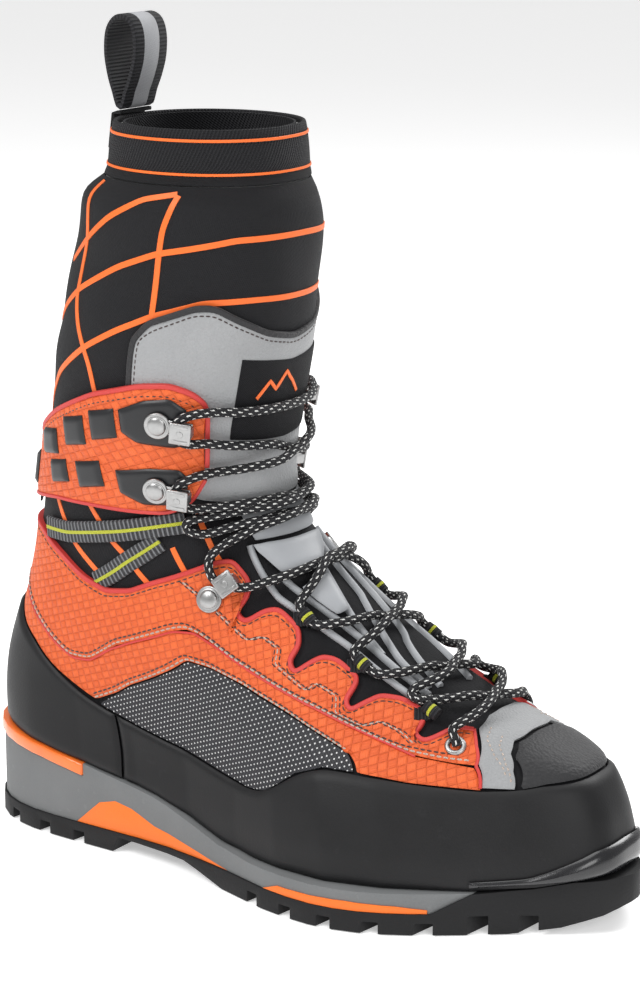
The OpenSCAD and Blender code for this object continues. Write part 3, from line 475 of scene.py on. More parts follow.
def gridPiece(name, points, uv):
    # A grid whose points and UVs, both in millimetres, are given by row and column
    n, m = points.shape[0] - 1, points.shape[1] - 1
    deselect()
    bpy.ops.mesh.primitive_grid_add(x_subdivisions=n, y_subdivisions=m, size=1, calc_uvs=True)
    piece = bpy.context.object
    piece.name = name
    count = len(piece.data.vertices)
    flat = np.zeros(count * 3, np.float32)
    piece.data.vertices.foreach_get("co", flat)
    flat = flat.reshape(-1, 3)
    i = np.rint((flat[:, 0] + 0.5) * n).astype(int)
    j = np.rint((flat[:, 1] + 0.5) * m).astype(int)
    piece.data.vertices.foreach_set("co", (points[i, j] / 1000).astype(np.float32).ravel())
    loops = np.zeros(len(piece.data.loops), np.int32)
    piece.data.loops.foreach_get("vertex_index", loops)
    piece.data.uv_layers[0].name = "UVMap"
    piece.data.uv_layers[0].data.foreach_set("uv", (uv[i, j][loops] / 1000).astype(np.float32).ravel())
    piece.data.update()
    return piece


def place(piece, finish, slotName, body, instead=(), angle=40):
    # Finish and body of a piece; its slot name is not used. "ankle" is for fabric that bends between foot and
    # shaft
    piece.data.materials.clear()
    piece.data.materials.append(finishes[finish])
    active(piece)
    bpy.ops.object.shade_smooth_by_angle(angle=math.radians(angle))
    if body == "ankle":
        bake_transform(piece)
    else:
        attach(piece, body)
    if instead:
        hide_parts(*instead)
    return piece


def joinPieces(name, pieces):
    deselect()
    for piece in pieces:
        piece.select_set(True)
    bpy.context.view_layer.objects.active = pieces[0]
    if len(pieces) > 1:
        bpy.ops.object.join()
    pieces[0].name = name
    return pieces[0]


def lateral(line): return line
def medial(line): return [(360 - q[0], *q[1:]) for q in reversed(line)]
def throughFront(line): return list(line) + [(360 - q[0], *q[1:]) for q in reversed(line[:-1])]
def throughHeel(line): return [(-q[0], *q[1:]) for q in reversed(line[1:])] + list(line)
def frontPanel(name, low, high, **shape): return panel(name, throughFront(low), throughFront(high), **shape)


def evened(line, softness, step, wrap=False):
    # Smooths a dense line of rows and leaves its ends where they are
    size = max(1, int(round(3 * softness / step)))
    curve = np.exp(-0.5 * (np.arange(-size, size + 1) * step / max(softness, 1e-6)) ** 2)
    curve /= curve.sum()
    out = []
    for c in range(line.shape[1]):
        padded = np.pad(line[:, c], size, mode="wrap") if wrap else \
            np.pad(line[:, c], min(size, len(line) - 1), mode="reflect", reflect_type="odd")
        made = np.convolve(padded, curve, "same")
        out.append(made[(len(made) - len(line)) // 2:][:len(line)])
    return np.stack(out, -1)


def panelColumns(low, high, step=2.2, softness=1.4):
    low, high = np.array(low, float), np.array(high, float)
    a, b = onLast(low[:, 0], low[:, 1]), onLast(high[:, 0], high[:, 1])
    rows = []
    for k in range(len(low) - 1):
        n = max(1, int(math.ceil(max(np.linalg.norm(a[k + 1] - a[k]), np.linalg.norm(b[k + 1] - b[k])) / step)))
        for i in range(n):
            rows.append(np.concatenate([low[k] + (low[k + 1] - low[k]) * i / n,
                                        high[k] + (high[k + 1] - high[k]) * i / n]))
    rows.append(np.concatenate([low[-1], high[-1]]))
    return evened(np.array(rows), softness, step) if softness else np.array(rows)


def runLength(points):
    return np.concatenate([[0], np.cumsum(np.linalg.norm(np.diff(points, axis=0), axis=-1))])


def panel(name, low, high, out, thick, rows=14, crown=0.0, rim=5.0, step=2.2, softness=1.4, bevel=0.35):
    # A sheet between two chart lines, with its outside out millimetres off the last and its rim rolled in
    lines = panelColumns(low, high, step, softness)
    k = np.linspace(0, 1, rows + 1)[None, :]
    t = lines[:, 0:1] * (1 - k) + lines[:, 2:3] * k
    z = lines[:, 1:2] * (1 - k) + lines[:, 3:4] * k
    p = onLast(t, z)
    away = [np.linalg.norm(p - q, axis=-1) for q in (p[:, :1], p[:, -1:], p[:1], p[-1:])]
    edge = np.clip(np.minimum.reduce(away) / rim, 0, 1)
    d = out - crown * (1 - edge * (2 - edge))
    piece = gridPiece(name, onLayer(t, z, d), np.stack([girth(t, z), z], -1))
    modify(piece, "SOLIDIFY", thickness=thick / 1000, offset=-1)
    return rounded(piece, bevel, 2, 50)


def chartRoute(chart, step=1.6, softness=2.0, wrap=False):
    chart = np.array(chart, float)
    p = onLast(chart[:, 0], chart[:, 1])
    rows = []
    for k in range(len(chart) - 1):
        n = max(1, int(round(np.linalg.norm(p[k + 1] - p[k]) / step)))
        rows += [chart[k] + (chart[k + 1] - chart[k]) * i / n for i in range(n)]
    rows.append(chart[-1])
    rows = np.array(rows)
    return evened(rows, softness, step) if softness and not wrap else rows


def sweep(name, chart, profile, d=0.0, step=1.6, softness=2.0, ring=False):
    # Carries a closed profile of (across, height) points along a chart line
    rows = chartRoute(chart, step, softness, ring)
    t, z = rows[:, 0], rows[:, 1]
    h = d + (rows[:, 2] if rows.shape[1] > 2 else 0)
    p, n = onLayer(t, z, h), outward(t, z)
    way = np.gradient(p, axis=0)
    if ring:
        way[0] = way[-1] = p[1] - p[-2]
    side = unit(np.cross(way, n))
    up = unit(np.cross(side, way))
    shape = np.array(list(profile) + [profile[0]], float)
    points = p[:, None] + shape[None, :, 0:1] * side[:, None] + shape[None, :, 1:2] * up[:, None]
    uv = np.stack(np.broadcast_arrays(runLength(p)[:, None], runLength(shape)[None, :]), -1)
    piece = gridPiece(name, points, uv)
    edit(piece, mergeDoubles, *([] if ring else [closeEnds]), outsideOut)
    return piece


def flatProfile(width, height, sink=0.15):
    w, r = width / 2, min(height * 0.45, width * 0.2)
    return [(-w, -sink), (w, -sink), (w, height - r), (w - r, height), (-w + r, height), (-w, height - r)]


def roundProfile(radius, sides):
    return [(radius * math.cos(a),
             radius * math.sin(a)) for a in [2 * math.pi * k / sides for k in range(sides)]]


def archProfile(width, height, sink=0.3, sides=8):
    turns = [math.pi * k / sides for k in range(sides)]
    top = [(width / 2 * math.cos(a), height * math.sin(a)) for a in turns]
    return [(-width / 2, -sink), (width / 2, -sink)] + top + [(-width / 2, 0)]


def stitchRun(chart, d, pitch, long, wide, tall, softness, phase=0.0):
    # Lists small thread stitches along a chart line
    rows = chartRoute(chart, 0.8, softness)
    p, n = onLayer(rows[:, 0], rows[:, 1], d), outward(rows[:, 0], rows[:, 1])
    along = runLength(p)
    centres = np.arange(pitch * (0.5 + phase), along[-1] - long / 2, pitch)
    made = []
    for c in centres:
        q = [np.array([np.interp(c + e, along, p[:, i]) for i in range(3)]) for e in (-long / 2, 0, long / 2)]
        up = np.array([np.interp(c, along, n[:, i]) for i in range(3)])
        side = unit(np.cross(q[2] - q[0], up))
        made.append((q, side * wide / 2, up * tall))
    return made


def stitchPiece(name, runs):
    points, faces = [], []
    ring = [(1, -0.3), (0.75, 0.6), (0, 1), (-0.75, 0.6), (-1, -0.3)]
    for q, side, up in [s for run in runs for s in run]:
        base = len(points)
        for k, size in ((0, 0.5), (1, 1.0), (2, 0.5)):
            points += [q[k] + a * side * (0.55 + 0.45 * size) + b * up * size for a, b in ring]
        for k in range(2):
            for j in range(5):
                a, b = base + k * 5 + j, base + k * 5 + (j + 1) % 5
                faces.append((a, b, b + 5, a + 5))
        faces += [tuple(base + j for j in range(4, -1, -1)), tuple(base + 10 + j for j in range(5))]
    mesh = bpy.data.meshes.new(name)
    mesh.from_pydata([tuple(q / 1000) for q in points], [], faces)
    flat = mesh.uv_layers.new(name="UVMap")
    where = np.array(points)[[v for f in faces for v in f]]
    flat.data.foreach_set("uv", (where[:, [0, 2]] / 1000).astype(np.float32).ravel())
    piece = link(bpy.data.objects.new(name, mesh))
    edit(piece, outsideOut)
    return piece


# Fabric sleeve of the foot, ankle and gaiter, and the lining inside it
sleeveSettings = {"columns": 150, "rows": 120, "top": 291.4, "thick": 0.8, "puff": 1.1, "folds": (205, 292)}
liningSettings = {"columns": 110, "rows": 90, "top": 312.6, "thick": 2.0, "rim": 0.7}


def foldHeight(t, z):
    # Soft folds of the gaiter, which fade out at both ends
    low, high = sleeveSettings["folds"]
    wave = np.sin(z / 9.0 + 1.3 * np.sin(np.radians(t) * 2)) * np.sin(z / 23.0 + np.radians(t) * 3)
    return sleeveSettings["puff"] * wave * np.clip((z - low) / 25, 0, 1) * np.clip((high - z) / 8, 0, 1)


def tube(name, t, z, d, thick, rim=0.0):
    # A closed sleeve round the last, with its wall laid inwards
    t, z, d = np.broadcast_arrays(t, z, d)
    piece = gridPiece(name, onLayer(t, z, d), np.stack([girth(t, z), z], -1))
    edit(piece, mergeDoubles)
    modify(piece, "SOLIDIFY", thickness=thick / 1000, offset=-1)
    if rim:
        rounded(piece, rim, 3, 60)
    return piece


def sleeveGrid(settings):
    t = np.linspace(0, 360, settings["columns"] + 1)[:, None]
    low = soleLine(t) + 0.5
    return t, low + (settings["top"] - low) * np.linspace(0, 1, settings["rows"] + 1)[None, :]


t, z = sleeveGrid(sleeveSettings)
place(tube("softshellSleeve", t, z, layer["fabric"] + foldHeight(t, z), sleeveSettings["thick"]),
      "softshell", "softshell", "ankle", ("upper_base", "ankle_gaiter", "gaiter"))
t, z = sleeveGrid(liningSettings)
place(tube("liningSleeve", t, z, -0.5, liningSettings["thick"], liningSettings["rim"]),
      "lining", "lining", "ankle", ("foot_lining", "ankle_lining", "shaft_lining"))
print("sleeves made")

# Collar with its two lines and its inner mesh
collarSettings = {"low": 291.6, "high": 315, "thick": 2.2, "wall": 1.8, "rim": 0.6, "ribs": 90,
                  "lines": [(310.2, 1.2), (296.4, 1.1)], "inner": (262, 314.2)}
t = np.linspace(0, 360, 181)[:, None]
z = np.linspace(collarSettings["low"], collarSettings["high"], 19)[None, :]
soft = np.sin(np.pi * (z - 291.6) / 23.4) ** 0.5
ribs = 0.12 * np.sin(np.radians(t) * collarSettings["ribs"]) * soft
d = collarSettings["thick"] * (0.55 + 0.45 * soft) + ribs
place(tube("collarBand", t, z, d, collarSettings["wall"], collarSettings["rim"]), "knit", "knit", "shaft",
      ("collar_band",))
lines = [sweep("line", [(a, height) for a in range(0, 361, 3)], flatProfile(wide, 0.35), 2.1, 2.5, 0, ring=True)
         for height, wide in collarSettings["lines"]]
place(joinPieces("collarLines", lines), "orangeLine", "knit", "shaft")
t, z = np.linspace(0, 360, 121)[:, None], np.linspace(*collarSettings["inner"], 21)[None, :]
place(tube("collarLining", t, z, -2.6, 0.9), "innerMesh", "lining", "shaft")

# Printed lines of the gaiter, by the body that they ride on
gaiterLines = {
    "shaft": [
        [(38, 256), (55, 267), (72, 278), (90, 286), (108, 288.5)],
        [(109, 288), (104, 275), (104, 261), (105, 239)],
        [(36, 230), (47, 238), (58, 246), (83, 258), (103, 265), (140, 271), (180, 271.5), (207, 268)],
        [(28, 188), (31, 191), (48, 208), (70, 222), (89, 232), (105, 239), (128, 245), (155, 246),
         (180, 246), (207, 243)],
        [(49, 290), (55, 268), (54, 256), (57, 243), (66, 228), (74, 216), (80, 202)]],
    "ankle": [
        [(50, 152), (56, 142), (62, 132), (72, 121)],
        [(73, 155), (78, 147), (83, 137), (87, 132), (90, 124), (92, 120)],
        [(110, 138), (109, 127)],
        [(129, 156), (128, 145), (127, 133)]]}
lineSettings = {"width": 2.5, "height": 0.3, "sink": 0.4, "base": 0.85}


def bothSides(line):
    # A line and its medial copy, or one line round the front where it passes the front
    near = [q for q in line if q[0] <= 180]
    if len(near) < len(line):
        return [near + medial([q for q in near if q[0] < 180])]
    return [line, medial(line)]


for body, lines in gaiterLines.items():
    profile = flatProfile(lineSettings["width"], lineSettings["height"], lineSettings["sink"])
    made = []
    for line in [side for line in lines for side in bothSides(line)]:
        rows = chartRoute(line, 2.0, 2.5)
        rows = np.column_stack([rows, foldHeight(rows[:, 0], rows[:, 1])])
        made.append(sweep("line", rows, profile, lineSettings["base"], 2.0, 0.5))
    place(joinPieces(body + "Lines", made), "orangeLine", "softshell", body)
print("gaiter made")

# Rands, toe cap and vamp
def randColumns(first, final, step, edge):
    t = np.arange(first, final + 0.01, step)
    a = np.where(t < 0, -t, np.where(t > 180, 360 - t, t))
    return t, soleLine(t) + 0.5, np.interp(a, *np.array(edge, float).T)


randEdge = [
    (0, 100), (17, 98), (29, 90), (39, 84), (48, 75), (56, 66), (64, 60), (73, 55), (81, 51), (88, 47),
    (93, 45), (97, 46), (104, 56), (109, 60), (115, 59.5), (125, 57.5), (138, 56), (148, 57), (156, 58.5),
    (180, 59)]
heelSeam, seamGap, randStep = 63, 0.4, 1.4
for name, first, final in (("heelRand", -heelSeam, heelSeam),
                           ("toeRand", heelSeam + seamGap, 360 - heelSeam - seamGap)):
    t, low, high = randColumns(first, final, (final - first) / round((final - first) / randStep), randEdge)
    high = evened(high[:, None], 2.0, randStep)[:, 0]
    rand = panel(name, list(zip(t, low)), list(zip(t, high)), out=layer["randOut"], thick=2.0, rows=18,
                 crown=1.1, rim=3.0, step=3.0, softness=0, bevel=0.3)
    place(rand, "rand", "rand_rubber", "foot", ("heel_rand" if first < 0 else "toe_rand",))
capLow = [(150, 57.6), (158, 59.1), (168, 59.5), (180, 59.5)]
capHigh = [(150, 58.6), (157, 67), (167, 70.5), (180, 71.5)]
place(frontPanel("toeCap", capLow, capHigh, out=layer["randOut"] - 0.4, thick=2, rows=10, crown=0.6, rim=3,
                 step=1.6, softness=1.0),
      "capFibre", "toe_cap_microfibre", "foot", ("toe_cap",))
vampLow = [(147.6, 57.4), (151, 63.2), (157.4, 68), (166.5, 71.2), (180, 72.2)]
vampHigh = [(139.5, 57.4), (143.6, 65.4), (153.4, 71), (160.4, 75.2), (172, 78), (180, 78.5)]
place(frontPanel("vampBand", vampLow, vampHigh, out=layer["panelOut"], thick=1.2, rows=8, crown=0.3, rim=2,
                 step=1.6, softness=1.0),
      "greyFibre", "grey_microfibre", "foot", ("vamp_band",))
bumperLow = [(134, 19.8), (146, 21.6), (156, 22.9), (168, 24.4), (180, 24.8)]
bumperHigh = [(134, 22), (146, 24), (156, 29), (168, 34), (180, 35.5)]
place(frontPanel("toeBumperCap", bumperLow, bumperHigh, out=6.8, thick=2.8, rows=10, crown=2.0, rim=4,
                 step=1.8, softness=2.0),
      "bumper", "bumper_tpu", "foot", ("toe_bumper",))
print("rands made")

# Side panels: outlines as (t, z) along the low and the high edge
meshLow = [
    (60, 63.8), (66, 59.4), (73, 55.6), (81, 51.6), (88, 47.6), (93, 45.6), (97, 46.6), (104, 56.6),
    (110, 60.6), (115.6, 60.2)]
meshHigh = [
    (60.5, 64.8), (66, 70), (72, 75.4), (80, 81), (87, 86), (94, 91.4), (100, 90), (106, 85), (112, 76.5),
    (117, 66)]
sideLow = [
    (0.5, 100.6), (17, 98.6), (29, 90.6), (39, 84.6), (48, 75.6), (59, 65.6), (66, 70.6), (72, 76),
    (80, 81.6), (87, 86.6), (94, 92), (100, 90.6), (106.6, 85.6), (112.6, 77), (117.6, 66), (116.4, 60.2),
    (125, 58), (139, 56.6)]
sideHigh = [
    (0.5, 111.8), (18, 108.2), (30, 100.8), (42, 92.8), (50, 86), (56, 82), (62, 82.8), (70, 89.8),
    (78, 94.8), (86, 98.8), (94, 102.8), (101, 103.4), (106, 98.4), (111, 90.8), (117, 83.4), (122, 77.2),
    (130.5, 66.4), (141.2, 63.8)]
quarterHigh = [
    (0.5, 137), (24, 136), (38, 134), (54, 126), (64, 119), (74, 115), (84, 117), (94, 122), (110, 128),
    (125, 133), (133, 134), (133, 126), (127, 120), (119, 114), (120, 110), (130, 115), (136, 116),
    (138, 109), (133, 103), (125, 97), (123, 92), (130, 96), (137, 99), (141, 98), (142, 92), (136, 88),
    (130, 84), (128, 80), (134, 83), (142, 86), (148, 85), (150, 81), (144, 77), (138, 74), (137, 71),
    (146, 74), (153, 76), (158, 75)]
quarterLow = [
    (0.5, 112), (18, 108.4), (30, 101), (42, 93), (55, 82.4), (62, 83), (73, 92.4), (84, 98), (94, 103),
    (99, 104.5), (102, 103.4), (104, 101.5), (106, 98.8), (107, 97), (108, 95.5), (109, 94), (110, 92.5),
    (111.5, 91), (113, 89), (114, 87.5), (115, 86), (116, 85), (117, 83.6), (118, 82.4), (119.5, 80.6),
    (121, 79), (122, 77.6), (123, 76.2), (124, 74.8), (125, 73.4), (126, 72), (127.5, 70), (129, 68.4),
    (130.5, 67), (132, 66.4), (135, 65.6), (138, 65), (142.4, 64.6)]
innerScallop = [
    (105.4, 124.6), (108, 120), (112, 113), (116, 103), (122, 105), (124, 101), (119, 95), (121, 86),
    (126, 89), (128, 85), (123, 79), (126, 75), (132, 77), (134, 74), (133, 70)]


def insetLine(line, other, millimetres):
    # A line that stays a few millimetres inside one edge of a panel, towards its other edge
    rows = panelColumns(line, other, 1.5, 1.2)
    a, b = onLast(rows[:, 0], rows[:, 1]), onLast(rows[:, 2], rows[:, 3])
    k = np.clip(millimetres / np.maximum(np.linalg.norm(b - a, axis=-1), 1e-6), 0, 0.5)[:, None]
    return evened(rows[:, :2] * (1 - k) + rows[:, 2:] * k, 2.0, 1.5)


panelSettings = {"mesh": {"out": 2.3, "thick": 0.9, "rows": 16, "crown": 0.2},
                 "band": {"out": 2.5, "thick": 1.2, "rows": 12, "crown": 0.35, "rim": 2.5},
                 "quarter": {"out": 2.9, "thick": 1.4, "rows": 34, "crown": 0.35, "rim": 3.0, "step": 2.0,
                             "softness": 0.9},
                 "pipe": (2.1, 2.0, 0.4), "bandPipe": (0.9, 0.5, 1.0), "toePipe": (1.4, 1.5, 0.3)}
seams = {"edge": {"pitch": 3.0, "long": 2.1, "wide": 0.7, "tall": 0.4, "softness": 0.8},
         "low": {"pitch": 2.8, "long": 2.0, "wide": 0.9, "tall": 0.45, "softness": 1.8},
         "inner": {"pitch": 2.8, "long": 2.0, "wide": 0.8, "tall": 0.45, "softness": 0.8, "phase": 0.2},
         "vamp": {"pitch": 2.4, "long": 1.2, "wide": 0.7, "tall": 0.3, "softness": 1.0},
         "tongue": {"pitch": 2.6, "long": 1.7, "wide": 0.7, "tall": 0.35, "softness": 2.0},
         "cuff": {"pitch": 2.8, "long": 2.0, "wide": 0.8, "tall": 0.45, "softness": 2.0}}
toeEnd = [(139.2, 57.2), (142.2, 64.4), (150, 70), (158.2, 75)]
microfibre, panelTop, panelBase = "orange_microfibre", layer["panelOut"], layer["panelIn"]
stitches = {"pale": [], "dark": []}
for side, flip in (("lateral", lateral), ("medial", medial)):
    place(panel("meshPanel." + side, flip(meshLow), flip(meshHigh), **panelSettings["mesh"]),
          "mesh", "mesh", "foot", ("mesh_panel_" + side,))
    place(panel("sideBand." + side, flip(sideLow), flip(sideHigh), **panelSettings["band"]),
          "basketSide", microfibre, "foot", ("side_band_" + side,))
    place(panel("quarter." + side, flip(quarterLow), flip(quarterHigh), **panelSettings["quarter"]),
          "basketSide", microfibre, "foot", ("quarter_" + side,))
    pipes = [(insetLine(quarterHigh, quarterLow, 0.1), "pipe", panelBase, 1.3, 0.6),
             (sideHigh[:-1], "bandPipe", panelTop - 0.2, 1.8, 1.5),
             (toeEnd, "toePipe", panelBase + 0.2, 1.3, 0.6)]
    edges = [sweep("edge", flip(line), flatProfile(*panelSettings[kind]), *more) for line, kind, *more in pipes]
    place(joinPieces("quarterEdge." + side, edges), "coral", microfibre, "foot")
    for run in ([tuple(q) for q in insetLine(quarterHigh, quarterLow, 2.6)], innerScallop):
        stitches["dark"].append(stitchRun(flip(run), panelTop + 0.1, **seams["edge"]))
    for offset, tone, phase in ((1.2, "pale", 0.0), (2.6, "dark", 0.3)):
        runs = [([(q[0], q[1] + offset) for q in quarterLow], 0.1, {**seams["low"], "phase": phase}),
                ([(q[0], q[1] + offset - 0.4) for q in sideLow[5:15]], -0.25, seams["low"]),
                ([(q[0] + offset * 0.7, q[1]) for q in innerScallop], 0.12, seams["inner"])]
        stitches[tone] += [stitchRun(flip(run), panelTop + out, **seam) for run, out, seam in runs]
    for inward in (2.0, 4.2):
        run = flip([(q[0], q[1] + inward) for q in vampLow[:-1]])
        stitches["pale"].append(stitchRun(run, panelTop + 0.05, **seams["vamp"]))
for tone in stitches:
    place(stitchPiece("quarterStitches" + tone.title(), stitches[tone]), tone + "Thread", microfibre, "foot",
          angle=60)
print("quarters made")

# Tongue guard: shield, window piece and ribs over the black fabric
guardPieces = {
    "shield": ([(147, 139.6), (148.5, 135), (150, 129)], [(190, 139.6), (184, 135), (176, 130)]),
    "window": ([(153, 122.6), (155, 118), (158, 113)], [(171, 125.6), (168, 120), (164.5, 114)]),
    "ribs": [[(146, 140), (141, 129), (139, 120), (142.5, 116), (146, 112), (151, 103), (152, 92), (153, 84)],
             [(149, 128), (149.5, 124), (152, 120), (157, 112), (160, 104), (160, 95), (160, 86)],
             [(190, 139), (184, 129), (182, 124), (180, 116), (174, 107), (166, 97), (164, 88)],
             [(176, 129), (172.5, 124), (168, 117), (165, 111), (163, 104), (161, 99)],
             [(199, 138), (194, 129), (190, 118), (184, 107), (176, 97), (170, 88)],
             [(212, 138), (212, 128), (206, 112), (196, 98), (184, 87)]]}
made = []
for key in ("shield", "window"):
    low, high = guardPieces[key]
    made.append(panel(key, low[::-1], high[::-1], out=layer["guardOut"] - 0.1, thick=2.0, rows=12, crown=0.9,
                      rim=3.0, step=1.5, softness=0.8))
for rib in guardPieces["ribs"]:
    made.append(sweep("rib", rib, archProfile(3.0, 1.9), 1.0, 1.8, 3.0))
guard = joinPieces("tongueGuard", made)
place(guard, "guard", "grey_tpu", "foot", ("tongue_guard",))
rings = [sweep("ring",
               [(170 + r * math.cos(a) * 1.1, 137 + r * math.sin(a)) for a in np.radians(np.arange(180, 361,
                                                                                                   12))],
               flatProfile(0.5, 0.35), 3.1, 1.0, 0) for r in (3.6, 5.6)]
place(joinPieces("guardRings", rings), "guard", "grey_tpu", "foot")
flexLow = [(150, 141.8), (165, 142.2), (180, 142.2)]
flexHigh = [(150, 157.4), (165, 157.8), (180, 157.8)]
flexPiece = frontPanel("tongueFlexPiece", flexLow, flexHigh, out=layer["tongueOut"], thick=1.2, rows=14,
                       crown=0.4, rim=2.5, step=1.8, softness=0.8)
place(flexPiece, "guard", "grey_tpu", "ankle", ("tongue_flex",))

# Tongue top, its edge and its label
tongueBase = [
    (124, 162), (126, 161.5), (129, 161), (133, 160), (140, 159.4), (148, 159), (164, 159), (180, 159)]
tongueSide = [(99, 205), (99, 229), (105, 236), (125, 243), (134, 243), (145, 238), (163, 231), (180, 228)]
tongue = frontPanel("tongueTop", tongueBase, tongueSide, out=layer["tongueOut"], thick=1.2, rows=30,
                    crown=0.5, rim=4, step=2.2, softness=2.5)
place(tongue, "greyFibre", "grey_microfibre", "shaft", ("tongue_top",))
edgeLine = throughFront([(98.6, 206), (98.6, 229), (104.6, 236.4), (125, 243.4), (134, 243.4), (145, 238.4),
                         (163, 231.4), (180, 228.4)])
place(sweep("tongueEdge", edgeLine, flatProfile(2.6, 1.0, 0.6), 1.9, 1.8, 2.0), "capFibre", "grey_microfibre",
      "shaft")
inside = [(t + (2.6 if t < 120 else -2.6 if t > 240 else 0), z - (3 if 100 < t < 260 else 0)) for t,
          z in edgeLine]
place(stitchPiece("tongueStitches", [stitchRun(inside, 2.4, **seams["tongue"])]), "darkThread",
      "grey_microfibre", "shaft", angle=60)
labelLow = [(148, 187), (165, 185.5), (180, 184.5)]
labelHigh = [(150.5, 221.5), (165, 220), (180, 218.5)]
place(frontPanel("tongueLabel", labelLow, labelHigh, out=3.2, thick=0.7, rows=20, crown=0.25, rim=2, step=1.8,
                 softness=1.2),
      "label", "label", "shaft", ("tongue_label",))
ridge = [(160, 204), (167, 211), (171, 207), (177, 214), (185, 204)]
lowRidge = [(162, 198), (184, 198)]
marks = [sweep("mark", line, flatProfile(1.6, 0.35, 0.3), 3.15, 1.0, 0.3) for line in (ridge, lowRidge)]
place(joinPieces("labelMark", marks), "orangeLine", "label", "shaft")
print("tongue made")

# Ankle straps with a yellow middle line: a slanted one under a level one
strapSettings = {"thick": 1.1, "middle": 1.5,
                 "slant": (9.0, 1.0, [(69.5, 117.5), (77, 122.5), (86.5, 129), (96, 134.5), (106, 140.5)]),
                 "level": (9.4, 2.0, [(43, 136.5), (60, 137.5), (90, 143.3), (110, 147.8), (122, 150)])}
straps, middles = [], []
for flip in (lateral, medial):
    for key in ("slant", "level"):
        wide, d, line = strapSettings[key]
        straps.append(sweep("strap", flip(line), flatProfile(wide, strapSettings["thick"]), d, 1.4, 2.0))
        middles.append(sweep("middle", flip(line), flatProfile(strapSettings["middle"], 0.28, 0.3),
                             d + strapSettings["thick"], 1.4, 2.0))
place(joinPieces("ankleStraps", straps), "webbing", "webbing", "ankle", ("ankle_straps",))
place(joinPieces("strapMiddles", middles), "yellow", "webbing", "ankle")

# Cuff with its edges, stitches, spine and tiles
cuffHigh = [
    (0, 173), (20, 175), (33, 181), (56, 193), (81, 204), (104, 210), (118, 211), (128, 208), (135.5, 203)]
cuffLow = [
    (0, 146), (16, 147), (30, 149), (56, 153), (78, 154), (102, 154), (116, 154.5), (128, 160), (135.5, 170)]
cuff = panel("cuff", throughHeel(cuffLow), throughHeel(cuffHigh), out=layer["cuffOut"], thick=1.6, rows=26,
             crown=0.6, rim=4, step=2.2, softness=3.0)
place(cuff, "basket", microfibre, "shaft", ("cuff",))
edgeRing = [(-136.6, 176), (-137, 186), (-136.6, 196), *throughHeel(cuffHigh), (136.6, 196), (137, 186),
            (136.6, 176)]
edges = [sweep("edge", edgeRing, flatProfile(2.0, 1.9, 0.4), 3.0, 1.6, 2.4),
         sweep("edge", throughHeel(cuffLow), flatProfile(1.6, 1.7, 0.4), 3.0, 1.8, 3.0)]
place(joinPieces("cuffEdge", edges), "coral", microfibre, "shaft")
upper = stitchRun(insetLine(throughHeel(cuffHigh), throughHeel(cuffLow), 4.2), 4.35, **seams["cuff"])
place(stitchPiece("cuffStitches", [upper]), "darkThread", microfibre, "shaft", angle=60)
spineLow, spineHigh = [(0, 147), (9, 147.5), (15, 149)], [(0, 170), (8, 170), (13, 169)]
place(panel("cuffSpine", throughHeel(spineLow), throughHeel(spineHigh), out=5.4, thick=1.0, rows=12,
            crown=0.6, rim=3), "tile",
      "black_tpu", "shaft")
# Tiles: place, half width and height, and slant; then the bases under the hooks
tiles = [
    (70.5, 186.5, 6.8, 6.2, 1.2), (87.5, 192, 6.8, 6.2, 1.2), (50, 177.8, 7.6, 5.6, 1.2),
    (79.5, 168.4, 7.2, 5.8, 1.2), (59, 166, 6.6, 5, 1.2), (25, 160, 5, 8, -1)]
tileShapes = [([(t - w + s, z - h - 1.4), (t + w + s, z - h + 1.4)],
               [(t - w - s, z + h - 1.4), (t + w - s, z + h + 1.4)])
              for t, z, w, h, s in tiles]
baseShapes = [([(97.5, 190), (105, 186), (122, 184.8), (128.5, 186.5)],
               [(95.5, 199.5), (107, 204.5), (119, 206), (126.5, 201.5)]),
              ([(95.5, 162.5), (106, 158), (121, 158.8), (126.5, 163)],
               [(94, 172.5), (110, 175), (124, 175.2), (128, 171.5)])]
tileSettings = {"out": layer["tileOut"] - 0.6, "thick": 1.6, "rows": 8, "crown": 1.2, "rim": 2.4, "step": 1.4,
                "softness": 0.6, "bevel": 0.2}
baseSettings = {"out": layer["tileOut"] - 0.3, "thick": 1.9, "rows": 14, "crown": 1.3, "rim": 3.0, "step": 1.4,
                "softness": 1.4, "bevel": 0.2}
for name, node, shapes, settings in (("cuffTiles", "cuff_tiles", tileShapes, tileSettings),
                                     ("hookBases", "hook_bases", baseShapes, baseSettings)):
    made = [panel("tile", flip(low), flip(high), **settings) for low,
            high in shapes for flip in (lateral, medial)]
    place(joinPieces(name, made), "tile", "black_tpu", "shaft", (node,))
print("cuff made")

# Hooks and rivets: modelled flat once, then each copy is laid on its seat
hookSettings = {"foot": 5.7, "sheet": 1.1, "reach": 15.5, "plate": 9.2, "tall": 6.6, "neck": 6.4}


def block(size, centre):
    deselect()
    bpy.ops.mesh.primitive_cube_add(size=1, location=[c / 1000 for c in centre])
    piece = bpy.context.object
    piece.scale = [s / 1000 for s in size]
    bpy.ops.object.transform_apply(location=True, rotation=True, scale=True)
    return piece


def rod(radius, height, centre, sides=40):
    deselect()
    bpy.ops.mesh.primitive_cylinder_add(vertices=sides, radius=radius / 1000, depth=height / 1000,
                                        location=[c / 1000 for c in centre])
    bpy.ops.object.transform_apply(location=True, rotation=True, scale=True)
    return bpy.context.object


